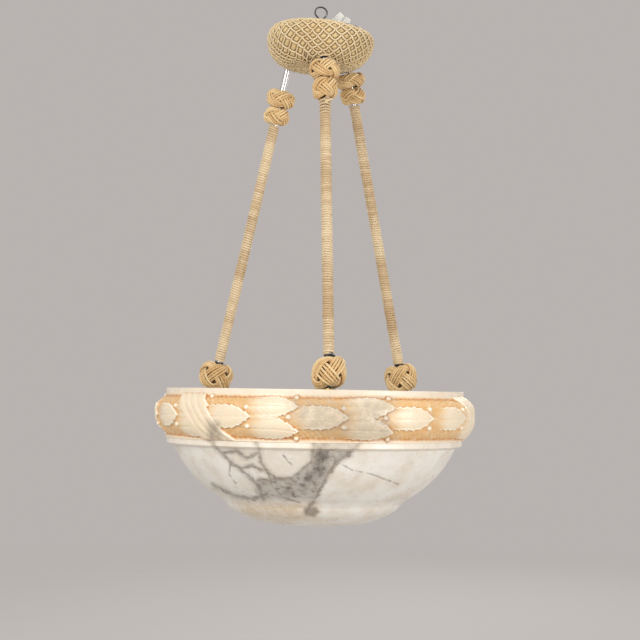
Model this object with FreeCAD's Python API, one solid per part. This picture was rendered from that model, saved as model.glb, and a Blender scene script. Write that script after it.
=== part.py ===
"""Alabaster bowl pendant hung on three rope-wound tubes, with a net-covered canopy.

The origin is the point of the suspension eye that bears on the ceiling hook, with +Z up.
The front arm lies on -Y, the others 120 degrees round.
A height is measured up from the bowl's lip, a drop down from it, and a z from the origin.
"""
import FreeCAD, Part
import math
import os
from FreeCAD import Placement, Rotation, Vector

# ---- Driving sizes, millimetres and degrees ----
TOP_BELOW_ORIGIN = 81.0
ARM_NAMES = ("front", "right", "left")
FRONT_AZIMUTH = -90.0

# bowl, from the lip down
LIP_R, LIP_DROP = 194.5, 6.0
ROLL_OUT, ROLL_MID_DROP, ROLL_DROP = 15.5, 31.0, 63.5
ROLL_UPPER_SAG, ROLL_LOWER_SAG = 5.5, 4.8
FILLET_IN, FILLET_H = 1.5, 7.0
BODY_IN, BODY_TOP_DROP, BODY_SAG = 10.2, 73.7, 6.5
STEP_R, STEP_DROP, STEP_SAG = 129.0, 137.0, -0.8
BASE_R, BASE_DROP, BASE_SAG = 115.5, 147.0, 1.5
BASE_FOOT_R, BASE_FOOT_DROP, BASE_FOOT_SAG = 100.0, 160.5, 1.7
SOLE_R, SOLE_DROP, SOLE_SAG = 62.0, 173.0, 0.8
BOWL_DEPTH, SOLE_FLAT_R = 177.2, 15.0
WALL, SOLE_WALL, INNER_SAG = 14.0, 16.0, 6.5
INNER_STEP_IN, INNER_STEP_UP = 10.0, 9.0
INNER_SHOULDER_DROP = 60.0

# arms
TUBE_R, TUBE_WALL = 4.0, 1.0
FOOT_IN, FOOT_HEIGHT = 33.5, 15.0
TOP_R, TOP_HEIGHT = 48.0, 427.0
TUBE_LOW_HEIGHT = -7.5
CORD_D = 3.2
TURN_GAP, TURN_PLAY = 0.45, 0.08
TURNS = 24
TAPE_T = 2.3
TAPE_LOW_HEIGHT = 1.0
FLAP_OUT, FLAP_H, FLAP_T = 12.0, 2.6, 0.8

# windings: height of the bottom, and how far the top is below the arms' top
WINDING = {"front": (42.0, 52.0), "right": (37.0, 41.0), "left": (35.0, 72.0)}
# low knots: heights of bottom and top, and width
LOW_KNOT = {"front": (2.0, 38.7, 44.0), "right": (0.3, 36.0, 45.0), "left": (0.3, 34.0, 46.0)}
# top knots, lower then upper: how far bottom and top are below the arms' top, and width
TOP_KNOTS = {
    "front": ((51.5, 25.5, 33.3), (25.0, 0.8, 40.4)),
    "right": ((40.5, 20.3, 33.0), (19.8, 1.4, 40.8)),
    "left": ((71.2, 49.7, 34.0), (49.2, 27.0, 38.7)),
}
KNOT_BORE_GAP = 0.3

# foot of each arm, inside the bowl
BLOCK_R, BLOCK_TOP_HEIGHT, BLOCK_DROP = 9.0, -0.2, 24.0
STRAP_T, STRAP_W, STRAP_REACH, STRAP_LEG = 3.0, 16.0, 34.0, 28.0
WALL_GAP = 0.3
RIM_SCREW_DROP, RIM_SCREW_R, RIM_SCREW_L, RIM_HEAD_AF, RIM_HEAD_H = 44.0, 3.0, 18.0, 10.0, 4.0
INSERT_R, INSERT_L, INSERT_SUNK = 5.0, 15.0, 1.0
BLOCK_SCREW_R, BLOCK_SCREW_L, BLOCK_HEAD_AF, BLOCK_HEAD_H = 2.5, 10.0, 8.0, 3.5
BRACKET_T, BRACKET_W, BRACKET_DROP = 2.5, 12.0, 44.0

# lampholders and lamps
HOLDER_IN, HOLDER_BACK_DROP, HOLDER_DIP = 22.5, 48.0, 25.0
HOLDER_R, HOLDER_L, HOLDER_FLOOR, LAMP_CAP_R, SCREW_GAP = 12.5, 45.0, 18.0, 6.9, 0.1
HOLDER_MOUTH_CHAMFER = 1.5
GLOBE_R, GLOBE_OUT, NECK_R, NECK_ABOVE = 22.5, 36.0, 10.5, 1.0
NECK_SAG_SHARE = 0.07

# cables
CABLE_R, CABLE_PLAY = 2.2, 0.2
CABLE_SPLIT_HEIGHT, CABLE_ENTRY = 9.0, 9.0
FLEX_R, CABLE_OUT = 2.9, 2.0
CONDUCTOR_R = 0.9
BEND_SHARE = 0.45

# hub
HUB_RISE, HUB_IN, HUB_OUT, HUB_T = 31.0, 12.55, 12.0, 3.0
TUBE_NUT_AF, TUBE_NUT_H, TUBE_END, NUT_BED_GAP = 13.0, 5.0, 4.0, 0.18
HOLE_PLAY = 0.2
BOLT_R, BOLT_EYE_R, BOLT_WIRE_R = 3.0, 5.0, 1.5
BOLT_NUT_AF, BOLT_NUT_H, BOLT_END = 10.0, 4.0, 1.0
BOLT_COLLAR_R, BOLT_COLLAR_H = 5.0, 1.5
LINK_R, LINK_WIRE_R, LINK_GAP = 5.5, 1.25, 0.3
HANGER_WIRE_R, HANGER_EYE_R, HANGER_LOOP_R = 1.2, 8.2, 4.5

# canopy
CANOPY_REST = 0.3
CANOPY_FLAT_R, CANOPY_LOW_SAG = 32.0, 11.5
CANOPY_R, CANOPY_WIDE_RISE = 70.3, 37.5
CANOPY_MOUTH_R, CANOPY_H, CANOPY_TOP_SAG = 58.0, 51.5, 3.0
COVER_T, CUP_T = 3.0, 1.5
CANOPY_HOLE_R = 8.0

# connectors: middle, with its rise above the hub, and lean of the long axis from upright
CONNECTORS = {"connector_blue": ((25.0, 22.0, 41.8), 47.0), "connector_brown": ((35.2, 22.0, 35.3), 31.0)}
CONNECTOR_W, CONNECTOR_D, CONNECTOR_L, CONNECTOR_FILLET = 8.5, 12.0, 16.0, 0.8
PORT_PITCH, PORT_DEPTH, PORT_PLAY = 3.6, 5.0, 0.15
SUPPLY_PORT_R, SUPPLY_PORT_L = 1.5, 9.0
LEAD_APART, LEAD_STRAIGHT = 1.2, 2.5

CUT_PAST = 1.0

# ---- Derived sizes ----
ARMS = {name: FRONT_AZIMUTH + 360 * k / len(ARM_NAMES) for k, name in enumerate(ARM_NAMES)}
LIP_BELOW_ORIGIN = TOP_HEIGHT + TOP_BELOW_ORIGIN
ROLL_R = LIP_R + ROLL_OUT
FILLET_R = LIP_R - FILLET_IN
BODY_R = LIP_R - BODY_IN
INNER_R = LIP_R - WALL
FOOT_R = INNER_R - FOOT_IN
STRAP_IN_R = INNER_R - STRAP_REACH
HOLDER_BACK_R = INNER_R - HOLDER_IN
ARM_TILT = math.degrees(math.atan2(FOOT_R - TOP_R, TOP_HEIGHT - FOOT_HEIGHT))
ARM_COS = math.cos(math.radians(ARM_TILT))
ARM_SIN = math.sin(math.radians(ARM_TILT))
SLEEVE_R = TUBE_R + CORD_D
TAPE_R = TUBE_R + TAPE_T
TURN_PITCH = CORD_D + TURN_GAP
COIL_R = TUBE_R + CORD_D / 2 + TURN_PLAY
HUB_HEIGHT = TOP_HEIGHT + HUB_RISE
HIGHEST_KNOT = TOP_HEIGHT - min(upper[1] for lower, upper in TOP_KNOTS.values())
CANOPY_HEIGHT = HIGHEST_KNOT + CANOPY_REST
UP = Vector(0, 0, 1)
ORIGIN = Vector(0, 0, 0)


# ---- Helpers ----
def z_at(height):
    """z of a height above the bowl's lip."""
    return height - LIP_BELOW_ORIGIN


def along(height):
    """How far up an arm's own axis a height is, from the arm's foot."""
    return (height - FOOT_HEIGHT) / ARM_COS


def radius_at(height):
    """How far an arm's axis is from the pendant's axis at a height."""
    return FOOT_R - (height - FOOT_HEIGHT) * ARM_SIN / ARM_COS


def outline(start, *steps):
    """Closed face in the XZ plane. A step is an end point, or an end point and a sag for an arc."""
    edges = []
    here = Vector(start[0], 0, start[1])
    closing = () if tuple(steps[-1][:2]) == tuple(start) else (start,)
    for step in steps + closing:
        there = Vector(step[0], 0, step[1])
        run = there - here
        if len(step) == 3:
            side = Vector(-run.z, 0, run.x).normalize()
            middle = (here + there) * 0.5 + side * step[2]
            edges.append(Part.Arc(here, middle, there).toShape())
        else:
            edges.append(Part.LineSegment(here, there).toShape())
        here = there
    return Part.Face(Part.Wire(edges))


def turned(start, *steps):
    """Solid turned about Z from an outline."""
    return outline(start, *steps).revolve(ORIGIN, UP, 360)


def rod(radius, low, high):
    return Part.makeCylinder(radius, high - low, Vector(0, 0, low), UP)


def sleeve(bore, radius, low, high):
    return rod(radius, low, high).cut(rod(bore, low - CUT_PAST, high + CUT_PAST))


def block(low, high):
    size = [b - a for a, b in zip(low, high)]
    return Part.makeBox(*size, Vector(*low))


def hexagon(flats, low, high, bore=0.0):
    """Upright hexagonal prism, with a bore if one is given."""
    reach = flats / math.sqrt(3)
    corners = [Vector(reach * math.cos(k * math.pi / 3), reach * math.sin(k * math.pi / 3), low)
               for k in range(7)]
    prism = Part.Face(Part.makePolygon(corners)).extrude(Vector(0, 0, high - low))
    return prism.cut(rod(bore, low - CUT_PAST, high + CUT_PAST)) if bore else prism


def ring(radius, wire_r, middle_z, axis):
    return Part.makeTorus(radius, wire_r, Vector(0, 0, middle_z), axis)


def moved(shape, placement):
    copy = shape.copy()
    copy.Placement = placement.multiply(copy.Placement)
    return copy


def spin(azimuth):
    return Placement(ORIGIN, Rotation(UP, azimuth))


def arm_place(azimuth):
    """Takes what is built up along Z from the arm's foot onto the arm."""
    lean = Placement(Vector(FOOT_R, 0, z_at(FOOT_HEIGHT)), Rotation(Vector(0, 1, 0), -ARM_TILT))
    return spin(azimuth).multiply(lean)


def foot_place(azimuth):
    """Takes what is built in radius, sideways and height above the lip onto its arm's side of the bowl."""
    return spin(azimuth).multiply(Placement(Vector(0, 0, z_at(0)), Rotation()))


def lamp_place(azimuth):
    """Takes what is built along Z from the lampholder's back to where the holder sits."""
    back = Placement(Vector(HOLDER_BACK_R, 0, -HOLDER_BACK_DROP),
                     Rotation(Vector(0, 1, 0), -90 - HOLDER_DIP))
    return foot_place(azimuth).multiply(back)


def arc_between(start, heading, end):
    """The arc from start to end that leaves start along heading, and its middle point."""
    chord = end - start
    along_chord = chord * (heading.dot(chord) / chord.Length ** 2)
    side = heading - along_chord
    half = 0.5 * math.atan2(side.Length, along_chord.Length)
    middle = (start + end) * 0.5 + side.normalize() * (0.5 * chord.Length * math.tan(half))
    return Part.Arc(start, middle, end).toShape()


def swept(edges, radius, heading):
    """Round tube along a smooth path."""
    path = Part.Wire(edges)
    start = path.Vertexes[0].Point
    section = Part.Wire(Part.makeCircle(radius, start, heading))
    return path.makePipeShell([section], True, False)


def routed(name, points, radius):
    """Round tube along points, with the largest arcs that its runs allow."""
    points = [Vector(*p) for p in points]
    edges, here, bends = [], points[0], []
    for before, corner, after in zip(points, points[1:], points[2:]):
        came, goes = corner - before, after - corner
        cut = BEND_SHARE * min(came.Length, goes.Length)
        begin = corner - came.normalize() * cut
        finish = corner + goes.normalize() * cut
        edges.append(Part.LineSegment(here, begin).toShape())
        edges.append(arc_between(begin, came, finish))
        bends.append(cut / math.tan(0.5 * came.getAngle(goes)))
        here = finish
    edges.append(Part.LineSegment(here, points[-1]).toShape())
    tube = swept(edges, radius, points[1] - points[0])
    length = sum(edge.Length for edge in edges)
    share = tube.Volume / (math.pi * radius ** 2 * length)
    print(f"{name}: length {length:.1f}, tightest bend {min(bends):.1f}, volume share {share:.4f}")
    return tube


def helix_point(radius, turn, pitch, low):
    angle = 2 * math.pi * turn
    return Vector(radius * math.cos(angle), -radius * math.sin(angle), low + pitch * turn)


def helix_heading(radius, turn, pitch):
    angle = 2 * math.pi * turn
    reach = 2 * math.pi * radius
    return Vector(-reach * math.sin(angle), -reach * math.cos(angle), pitch).normalize()


def coil(name, radius, wire_r, turns, pitch, low):
    """One unbroken wire wound upwards, left-handed, on two tangent arcs for each half turn."""
    edges = []
    for half in range(2 * turns):
        first, last = half / 2, (half + 1) / 2
        start, end = helix_point(radius, first, pitch, low), helix_point(radius, last, pitch, low)
        leave, arrive = helix_heading(radius, first, pitch), helix_heading(radius, last, pitch)
        gap, sum_of_headings = end - start, leave + arrive
        spread = 2 * (1 - leave.dot(arrive))
        lean = gap.dot(sum_of_headings)
        reach = (-lean + math.sqrt(lean ** 2 + spread * gap.dot(gap))) / spread
        joint = (start + end + (leave - arrive) * reach) * 0.5
        edges.append(arc_between(start, leave, joint))
        edges.append(arc_between(joint, (joint - start - leave * reach).normalize(), end))
    path_points = [edge.valueAt(edge.FirstParameter + (edge.LastParameter - edge.FirstParameter) * k / 4)
                   for edge in edges for k in range(4)]
    per_turn = len(path_points) // turns
    least = min(here.distanceToPoint(there)
                for k, here in enumerate(path_points)
                for there in path_points[k + per_turn // 2:k + 2 * per_turn])
    print(f"{name}: least gap of the coil to itself {least - 2 * wire_r:.2f}")
    return swept(edges, wire_r, helix_heading(radius, 0, pitch))


def bun(bore, radius, bottom, top):
    """Knot's rounded body round the arm, upright at its equator."""
    middle, half = (bottom + top) / 2, (top - bottom) / 2
    shoulder = max(bore, radius - half)
    turn = math.atan2(radius - shoulder, half)
    sag = 0.5 * math.hypot(radius - shoulder, half) * math.tan(turn / 2)
    steps = [(shoulder, top)] if shoulder > bore else []
    steps += [(radius, middle, sag), (shoulder, bottom, sag)]
    return turned((bore, bottom), (bore, top), *steps)


def write(name, *solids):
    """One STEP file for a node: a solid, or several separate solids."""
    shape = solids[0] if len(solids) == 1 else Part.makeCompound(list(solids))
    if not shape.isValid():
        print("not valid:", name)
    shape.exportStep(f"parts/{name}.step")


# ---- Bowl ----
def bowl():
    cut = turned(
        (INNER_R, 0),
        (LIP_R, 0),
        (LIP_R, -LIP_DROP),
        (ROLL_R, -ROLL_MID_DROP, ROLL_UPPER_SAG),
        (LIP_R, -ROLL_DROP, ROLL_LOWER_SAG),
        (FILLET_R, -ROLL_DROP),
        (FILLET_R, -ROLL_DROP - FILLET_H),
        (BODY_R, -BODY_TOP_DROP),
        (STEP_R, -STEP_DROP, BODY_SAG),
        (BASE_R, -BASE_DROP, STEP_SAG),
        (BASE_FOOT_R, -BASE_FOOT_DROP, BASE_SAG),
        (SOLE_R, -SOLE_DROP, BASE_FOOT_SAG),
        (SOLE_FLAT_R, -BOWL_DEPTH, SOLE_SAG),
        (0, -BOWL_DEPTH),
        (0, SOLE_WALL - BOWL_DEPTH),
        (SOLE_FLAT_R, SOLE_WALL - BOWL_DEPTH),
        (BASE_R - INNER_STEP_IN, INNER_STEP_UP - BASE_DROP, -INNER_SAG),
        (BODY_R - WALL, -BODY_TOP_DROP, -INNER_SAG),
        (INNER_R, -INNER_SHOULDER_DROP),
    )
    stone = moved(cut, foot_place(0))
    for azimuth in ARMS.values():
        pocket = Part.makeCylinder(INSERT_R, CUT_PAST + INSERT_L,
                                   Vector(INNER_R - CUT_PAST, 0, -RIM_SCREW_DROP), Vector(1, 0, 0))
        stone = stone.cut(moved(pocket, foot_place(azimuth)))
    return stone


# ---- Foot of an arm ----
def foot_block(azimuth, side):
    """Brass block that the tube screws into, with the cable's way out at its side."""
    body = rod(BLOCK_R, along(-BLOCK_DROP) - BLOCK_R, along(BLOCK_TOP_HEIGHT))
    body = body.cut(rod(TUBE_R, along(TUBE_LOW_HEIGHT), along(BLOCK_TOP_HEIGHT) + CUT_PAST))
    body = moved(body, arm_place(azimuth))
    reach = FOOT_R + BLOCK_DROP + 2 * BLOCK_R
    half = BLOCK_R + CUT_PAST
    below = moved(block((0, -half, -3 * BLOCK_DROP), (reach, half, -BLOCK_DROP)), foot_place(azimuth))
    screw = rod(BLOCK_SCREW_R, -BLOCK_DROP - CUT_PAST, -BLOCK_DROP - STRAP_T + BLOCK_SCREW_L)
    screw_at = Placement(Vector(radius_at(-BLOCK_DROP), 0, 0), Rotation())
    screw = moved(screw, foot_place(azimuth).multiply(screw_at))
    way_out = routed("cable way", cable_low_route(side)[:4], CABLE_R + CABLE_PLAY)
    return body.cut(below).cut(screw).cut(moved(way_out, foot_place(azimuth)))


def rim_strap(azimuth):
    """Angle strap from under the foot block to the bowl's inner wall."""
    outer = INNER_R - WALL_GAP
    half = STRAP_W / 2
    bar = block((STRAP_IN_R, -half, -BLOCK_DROP - STRAP_T), (outer, half, -BLOCK_DROP))
    leg = block((outer - STRAP_T, -half, -BLOCK_DROP - STRAP_LEG), (outer, half, -BLOCK_DROP))
    through = STRAP_T + 2 * CUT_PAST
    hole = Part.makeCylinder(RIM_SCREW_R + HOLE_PLAY, through,
                             Vector(outer - STRAP_T - CUT_PAST, 0, -RIM_SCREW_DROP), Vector(1, 0, 0))
    screw_hole = Part.makeCylinder(BLOCK_SCREW_R + HOLE_PLAY, through,
                                   Vector(radius_at(-BLOCK_DROP), 0, -BLOCK_DROP - STRAP_T - CUT_PAST), UP)
    return moved(bar.fuse(leg).removeSplitter().cut(hole).cut(screw_hole), foot_place(azimuth))


def rim_screw(azimuth):
    """Screw through the strap's leg into the insert."""
    shank = rod(RIM_SCREW_R, 0, RIM_SCREW_L)
    head = hexagon(RIM_HEAD_AF, -RIM_HEAD_H, 0)
    seat = Placement(Vector(INNER_R - WALL_GAP - STRAP_T, 0, -RIM_SCREW_DROP), Rotation(Vector(0, 1, 0), 90))
    return moved(shank.fuse(head), foot_place(azimuth).multiply(seat))


def rim_insert(azimuth):
    """Threaded insert cemented into the stone."""
    seat = Placement(Vector(INNER_R, 0, -RIM_SCREW_DROP), Rotation(Vector(0, 1, 0), 90))
    return moved(sleeve(RIM_SCREW_R, INSERT_R, 0, INSERT_L), foot_place(azimuth).multiply(seat))


def block_screw(azimuth):
    """Screw up through the strap into the foot block."""
    low = -BLOCK_DROP - STRAP_T
    shank = rod(BLOCK_SCREW_R, low, low + BLOCK_SCREW_L)
    head = hexagon(BLOCK_HEAD_AF, low - BLOCK_HEAD_H, low)
    seat = Placement(Vector(radius_at(-BLOCK_DROP), 0, 0), Rotation())
    return moved(shank.fuse(head), foot_place(azimuth).multiply(seat))


def lamp_bracket(azimuth):
    """Strip from the strap's inner end down to the lampholder."""
    half = BRACKET_W / 2
    strip = block((STRAP_IN_R - BRACKET_T, -half, -BRACKET_DROP), (STRAP_IN_R, half, -BLOCK_DROP))
    strip = moved(strip, foot_place(azimuth))
    return strip.cut(moved(rod(HOLDER_R, -CUT_PAST, HOLDER_L), lamp_place(azimuth)))


# ---- Lamps ----
def lampholder():
    bore = LAMP_CAP_R + SCREW_GAP
    return turned(
        (0, 0),
        (0, HOLDER_FLOOR),
        (bore, HOLDER_FLOOR),
        (bore, HOLDER_L),
        (HOLDER_R - HOLDER_MOUTH_CHAMFER, HOLDER_L),
        (HOLDER_R, HOLDER_L - HOLDER_MOUTH_CHAMFER),
        (HOLDER_R, 0),
    )


def lamp():
    middle = HOLDER_L + GLOBE_OUT
    neck_z = HOLDER_L + NECK_ABOVE
    cap_z = HOLDER_FLOOR + NECK_ABOVE
    neck_sag = NECK_SAG_SHARE * math.hypot(GLOBE_R - NECK_R, middle - neck_z)
    return turned(
        (0, cap_z),
        (0, middle + GLOBE_R),
        (GLOBE_R, middle, GLOBE_R * (1 - math.sqrt(0.5))),
        (NECK_R, neck_z, neck_sag),
        (LAMP_CAP_R, neck_z),
        (LAMP_CAP_R, cap_z),
    )


# ---- Cables ----
def arm_point(length):
    """Point on the arm's axis, in radius, sideways and height."""
    return (FOOT_R - length * ARM_SIN, 0.0, FOOT_HEIGHT + length * ARM_COS)


def cable_low_route(side):
    """Out of the tube through the foot block, over beside the strap and back into the lampholder."""
    dip = math.radians(HOLDER_DIP)
    behind = (HOLDER_BACK_R + CABLE_ENTRY * math.cos(dip), 0, CABLE_ENTRY * math.sin(dip) - HOLDER_BACK_DROP)
    return [
        arm_point(along(CABLE_SPLIT_HEIGHT)),
        arm_point(along(-17)),
        (INNER_R - 13.5, 9 * side, -1),
        (INNER_R - 5.5, 13.5 * side, -7),
        (INNER_R - 5, 13.5 * side, -22),
        (INNER_R - 8.5, 7 * side, -35),
        behind,
        (HOLDER_BACK_R, 0, -HOLDER_BACK_DROP),
    ]


def top_of_tube():
    return along(HUB_HEIGHT) + HUB_T / 2 + TUBE_NUT_H + TUBE_END


def arm_cable(name, azimuth, side):
    """Black cable: from the lampholder up through the tube to just above its end."""
    low = moved(routed(name, cable_low_route(side), CABLE_R), foot_place(azimuth))
    inner = moved(rod(CABLE_R, along(CABLE_SPLIT_HEIGHT), top_of_tube() + CABLE_OUT), arm_place(azimuth))
    return low.fuse(inner)


def tube_mouth(azimuth, above):
    """Point on an arm's axis above its tube's end."""
    radius, _, height = arm_point(top_of_tube() + above)
    turn = math.radians(azimuth)
    return (radius * math.cos(turn), radius * math.sin(turn), z_at(height))


def at_hub(x, y, rise):
    """Point given by its rise above the hub."""
    return (x, y, z_at(HUB_HEIGHT) + rise)


def top_routes():
    """Cables' routes from the tubes' ends to the connectors; the left one is in white flex."""
    front = [tube_mouth(ARMS["front"], CABLE_OUT), tube_mouth(ARMS["front"], 12),
             at_hub(13.5, -27, 21), at_hub(25, -12, 17), at_hub(26, 4, 15), at_hub(25, 13.5, 23)]
    right = [tube_mouth(ARMS["right"], CABLE_OUT), tube_mouth(ARMS["right"], 5.5), at_hub(31.5, 24, 20.5)]
    left = [tube_mouth(ARMS["left"], CABLE_OUT), tube_mouth(ARMS["left"], 14),
            at_hub(-16, 22, 23), at_hub(-2, 20.5, 25), at_hub(7, 21, 27.5), at_hub(15, 22, 30)]
    return {"front": front, "right": right, "left": left}


# ---- Canopy ----
def canopy_solid(inset, neck):
    """The canopy's filled shape, drawn in by inset, with its mouth carried up by a neck."""
    low = z_at(CANOPY_HEIGHT) + inset
    wide = z_at(CANOPY_HEIGHT) + CANOPY_WIDE_RISE
    mouth_z = z_at(CANOPY_HEIGHT) + CANOPY_H
    mouth_r = CANOPY_MOUTH_R - inset
    steps = [(0, mouth_z + neck), (mouth_r, mouth_z + neck)]
    if neck:
        steps.append((mouth_r, mouth_z))
    steps += [
        (CANOPY_R - inset, wide, CANOPY_TOP_SAG),
        (CANOPY_FLAT_R, low, CANOPY_LOW_SAG),
    ]
    return turned((0, low), *steps)


def canopy_shell(inset, thickness):
    shell = canopy_solid(inset, 0).cut(canopy_solid(inset + thickness, CUT_PAST))
    for azimuth in ARMS.values():
        hole = rod(CANOPY_HOLE_R, along(CANOPY_HEIGHT) - CANOPY_H / 2, along(CANOPY_HEIGHT) + CANOPY_H / 2)
        shell = shell.cut(moved(hole, arm_place(azimuth)))
    return shell


# ---- Hub, link and hanger ----
def hub_dish():
    """Dish whose flange is square to the arms, so that the nuts bed flat."""
    slope = ARM_SIN / ARM_COS
    middle_r, middle_z = radius_at(HUB_HEIGHT), z_at(HUB_HEIGHT)
    flat_r, edge_r = middle_r - HUB_IN, middle_r + HUB_OUT
    flat_z = middle_z - HUB_IN * slope
    edge_z = middle_z + HUB_OUT * slope
    half = HUB_T / 2
    dish = turned(
        (BOLT_R, flat_z - half),
        (BOLT_R, flat_z + half),
        (flat_r, flat_z + half),
        (edge_r, edge_z + half),
        (edge_r, edge_z - half),
        (flat_r, flat_z - half),
    )
    for azimuth in ARMS.values():
        hole = rod(TUBE_R + HOLE_PLAY, along(HUB_HEIGHT) - 2 * HUB_T, along(HUB_HEIGHT) + 2 * HUB_T)
        dish = dish.cut(moved(hole, arm_place(azimuth)))
    return dish, flat_z


def tube_nuts():
    grip = HUB_T / 2 * ARM_COS
    middle = along(HUB_HEIGHT)
    nuts = []
    for azimuth in ARMS.values():
        for low in (middle + grip + NUT_BED_GAP, middle - grip - TUBE_NUT_H):
            nuts.append(moved(hexagon(TUBE_NUT_AF, low, low + TUBE_NUT_H, TUBE_R), arm_place(azimuth)))
    return nuts


def eye_bolt(flat_z):
    """Eye above the dish, collar on it and shank down through it."""
    top = flat_z + HUB_T / 2
    eye_z = top + BOLT_COLLAR_H + BOLT_EYE_R + BOLT_WIRE_R / 2
    eye = ring(BOLT_EYE_R, BOLT_WIRE_R, eye_z, Vector(0, 1, 0))
    collar = rod(BOLT_COLLAR_R, top, top + BOLT_COLLAR_H)
    shank = rod(BOLT_R, top - HUB_T - BOLT_NUT_H - BOLT_END, top + 0.1)
    return eye.fuse(collar).fuse(shank).removeSplitter(), eye_z


def link_and_hanger(eye_z):
    """Link ring hooked in the bolt's eye, and the hanger wire through the ring."""
    link_low = eye_z + BOLT_EYE_R - BOLT_WIRE_R - LINK_GAP - LINK_WIRE_R
    link_z = link_low + LINK_R
    link = ring(LINK_R, LINK_WIRE_R, link_z, Vector(1, 0, 0))
    loop_low = link_z + LINK_R - LINK_WIRE_R - LINK_GAP - HANGER_WIRE_R
    loop_z = loop_low + HANGER_LOOP_R
    head_z = HANGER_WIRE_R - HANGER_EYE_R
    head = ring(HANGER_EYE_R, HANGER_WIRE_R, head_z, Vector(0, 1, 0))
    loop = ring(HANGER_LOOP_R, HANGER_WIRE_R, loop_z, Vector(0, 1, 0))
    neck = rod(HANGER_WIRE_R, loop_z + HANGER_LOOP_R, head_z - HANGER_EYE_R)
    print(f"hanger neck {head_z - HANGER_EYE_R - loop_z - HANGER_LOOP_R:.2f}")
    print(f"swing pivots: hanger {loop_low + HANGER_WIRE_R + LINK_GAP / 2:.3f}, "
          f"bolt {link_low + LINK_WIRE_R + LINK_GAP / 2:.3f}")
    return link, head.fuse(loop).fuse(neck)


# ---- Connectors ----
def connector_place(middle, lean):
    return Placement(Vector(*at_hub(*middle)), Rotation(Vector(0, 1, 0), lean))


def connector(middle, lean):
    """Push-in block: three ports for the lamps' conductors below, one for the supply above."""
    half_w, half_d, half_l = CONNECTOR_W / 2, CONNECTOR_D / 2, CONNECTOR_L / 2
    body = block((-half_w, -half_d, -half_l), (half_w, half_d, half_l))
    body = body.makeFillet(CONNECTOR_FILLET, body.Edges)
    for k in (-1, 0, 1):
        port = rod(CONDUCTOR_R + PORT_PLAY, -half_l - CUT_PAST, -half_l + PORT_DEPTH)
        port.translate(Vector(0, k * PORT_PITCH, 0))
        body = body.cut(port)
    body = body.cut(rod(SUPPLY_PORT_R, half_l - SUPPLY_PORT_L, half_l + CUT_PAST))
    place = connector_place(middle, lean)
    mouth = place.multVec(Vector(0, 0, half_l))
    print("supply port mouth", [round(v, 4) for v in mouth], "lean", lean)
    return moved(body, place)


def lead(name, route, side, middle, lean, port):
    """One conductor from the end of a cable's route into a port."""
    place = connector_place(middle, lean)
    half_l = CONNECTOR_L / 2
    inside = place.multVec(Vector(0, port * PORT_PITCH, -half_l + PORT_DEPTH - PORT_PLAY))
    outside = place.multVec(Vector(0, port * PORT_PITCH, -half_l - LEAD_STRAIGHT))
    heading = (Vector(*route[-1]) - Vector(*route[-2])).normalize()
    start = Vector(*route[-1]) + heading.cross(UP).normalize() * (side * LEAD_APART)
    rise = start + heading * LEAD_STRAIGHT
    return routed(name, [start, rise, outside, inside], CONDUCTOR_R)


# ---- Everything ----
os.makedirs("parts", exist_ok=True)
write("bowl", bowl())

cable_side = {"front": 1, "right": -1, "left": 1}
for arm, azimuth in ARMS.items():
    place = arm_place(azimuth)
    tube = sleeve(TUBE_R - TUBE_WALL, TUBE_R, along(TUBE_LOW_HEIGHT), top_of_tube())
    write(f"tube_{arm}", moved(tube, place))

    low, high = along(WINDING[arm][0]), along(TOP_HEIGHT - WINDING[arm][1])
    coil_low = high - CORD_D - TURNS * TURN_PITCH
    wound = coil(f"winding_{arm}", COIL_R, CORD_D / 2, TURNS, TURN_PITCH, coil_low + CORD_D / 2)
    plain = sleeve(TUBE_R, SLEEVE_R, low, coil_low - TURN_GAP)
    write(f"winding_{arm}", moved(plain, place), moved(wound, place))

    tape = sleeve(TUBE_R, TAPE_R, along(TAPE_LOW_HEIGHT), low)
    if arm == "front":
        flap = block((-FLAP_T, TAPE_R - TAPE_T / 2, low - FLAP_H), (0, TAPE_R + FLAP_OUT, low))
        tape = tape.fuse(flap).removeSplitter()
    write(f"tape_{arm}", moved(tape, place))

    bottom, top, width = LOW_KNOT[arm]
    write(f"low_knot_{arm}", moved(bun(TAPE_R, width / 2, along(bottom), along(top)), place))
    for level, (bottom_drop, top_drop, width) in zip(("lower", "upper"), TOP_KNOTS[arm]):
        bottom, top = TOP_HEIGHT - bottom_drop, TOP_HEIGHT - top_drop
        knot = bun(TUBE_R + KNOT_BORE_GAP, width / 2, along(bottom), along(top))
        write(f"top_knot_{level}_{arm}", moved(knot, place))

    write(f"foot_block_{arm}", foot_block(azimuth, cable_side[arm]))
    write(f"rim_strap_{arm}", rim_strap(azimuth))
    write(f"lamp_bracket_{arm}", lamp_bracket(azimuth))
    write(f"lampholder_{arm}", moved(lampholder(), lamp_place(azimuth)))
    write(f"lamp_{arm}", moved(lamp(), lamp_place(azimuth)))
    write(f"cable_{arm}", arm_cable(f"cable_{arm}", azimuth, cable_side[arm]))

write("rim_screws", *[rim_screw(azimuth) for azimuth in ARMS.values()])
write("rim_inserts", *[rim_insert(azimuth) for azimuth in ARMS.values()])
write("block_screws", *[block_screw(azimuth) for azimuth in ARMS.values()])

write("canopy_cover", canopy_shell(0, COVER_T))
write("canopy_cup", canopy_shell(COVER_T, CUP_T))

dish, dish_z = hub_dish()
write("hub_dish", dish)
write("tube_nuts", *tube_nuts())
bolt, bolt_eye_z = eye_bolt(dish_z)
write("eye_bolt", bolt)
bolt_nut_top = dish_z - HUB_T / 2
write("eye_bolt_nut", hexagon(BOLT_NUT_AF, bolt_nut_top - BOLT_NUT_H, bolt_nut_top, BOLT_R))
link, hanger = link_and_hanger(bolt_eye_z)
write("link_ring", link)
write("hanger_wire", hanger)

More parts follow.
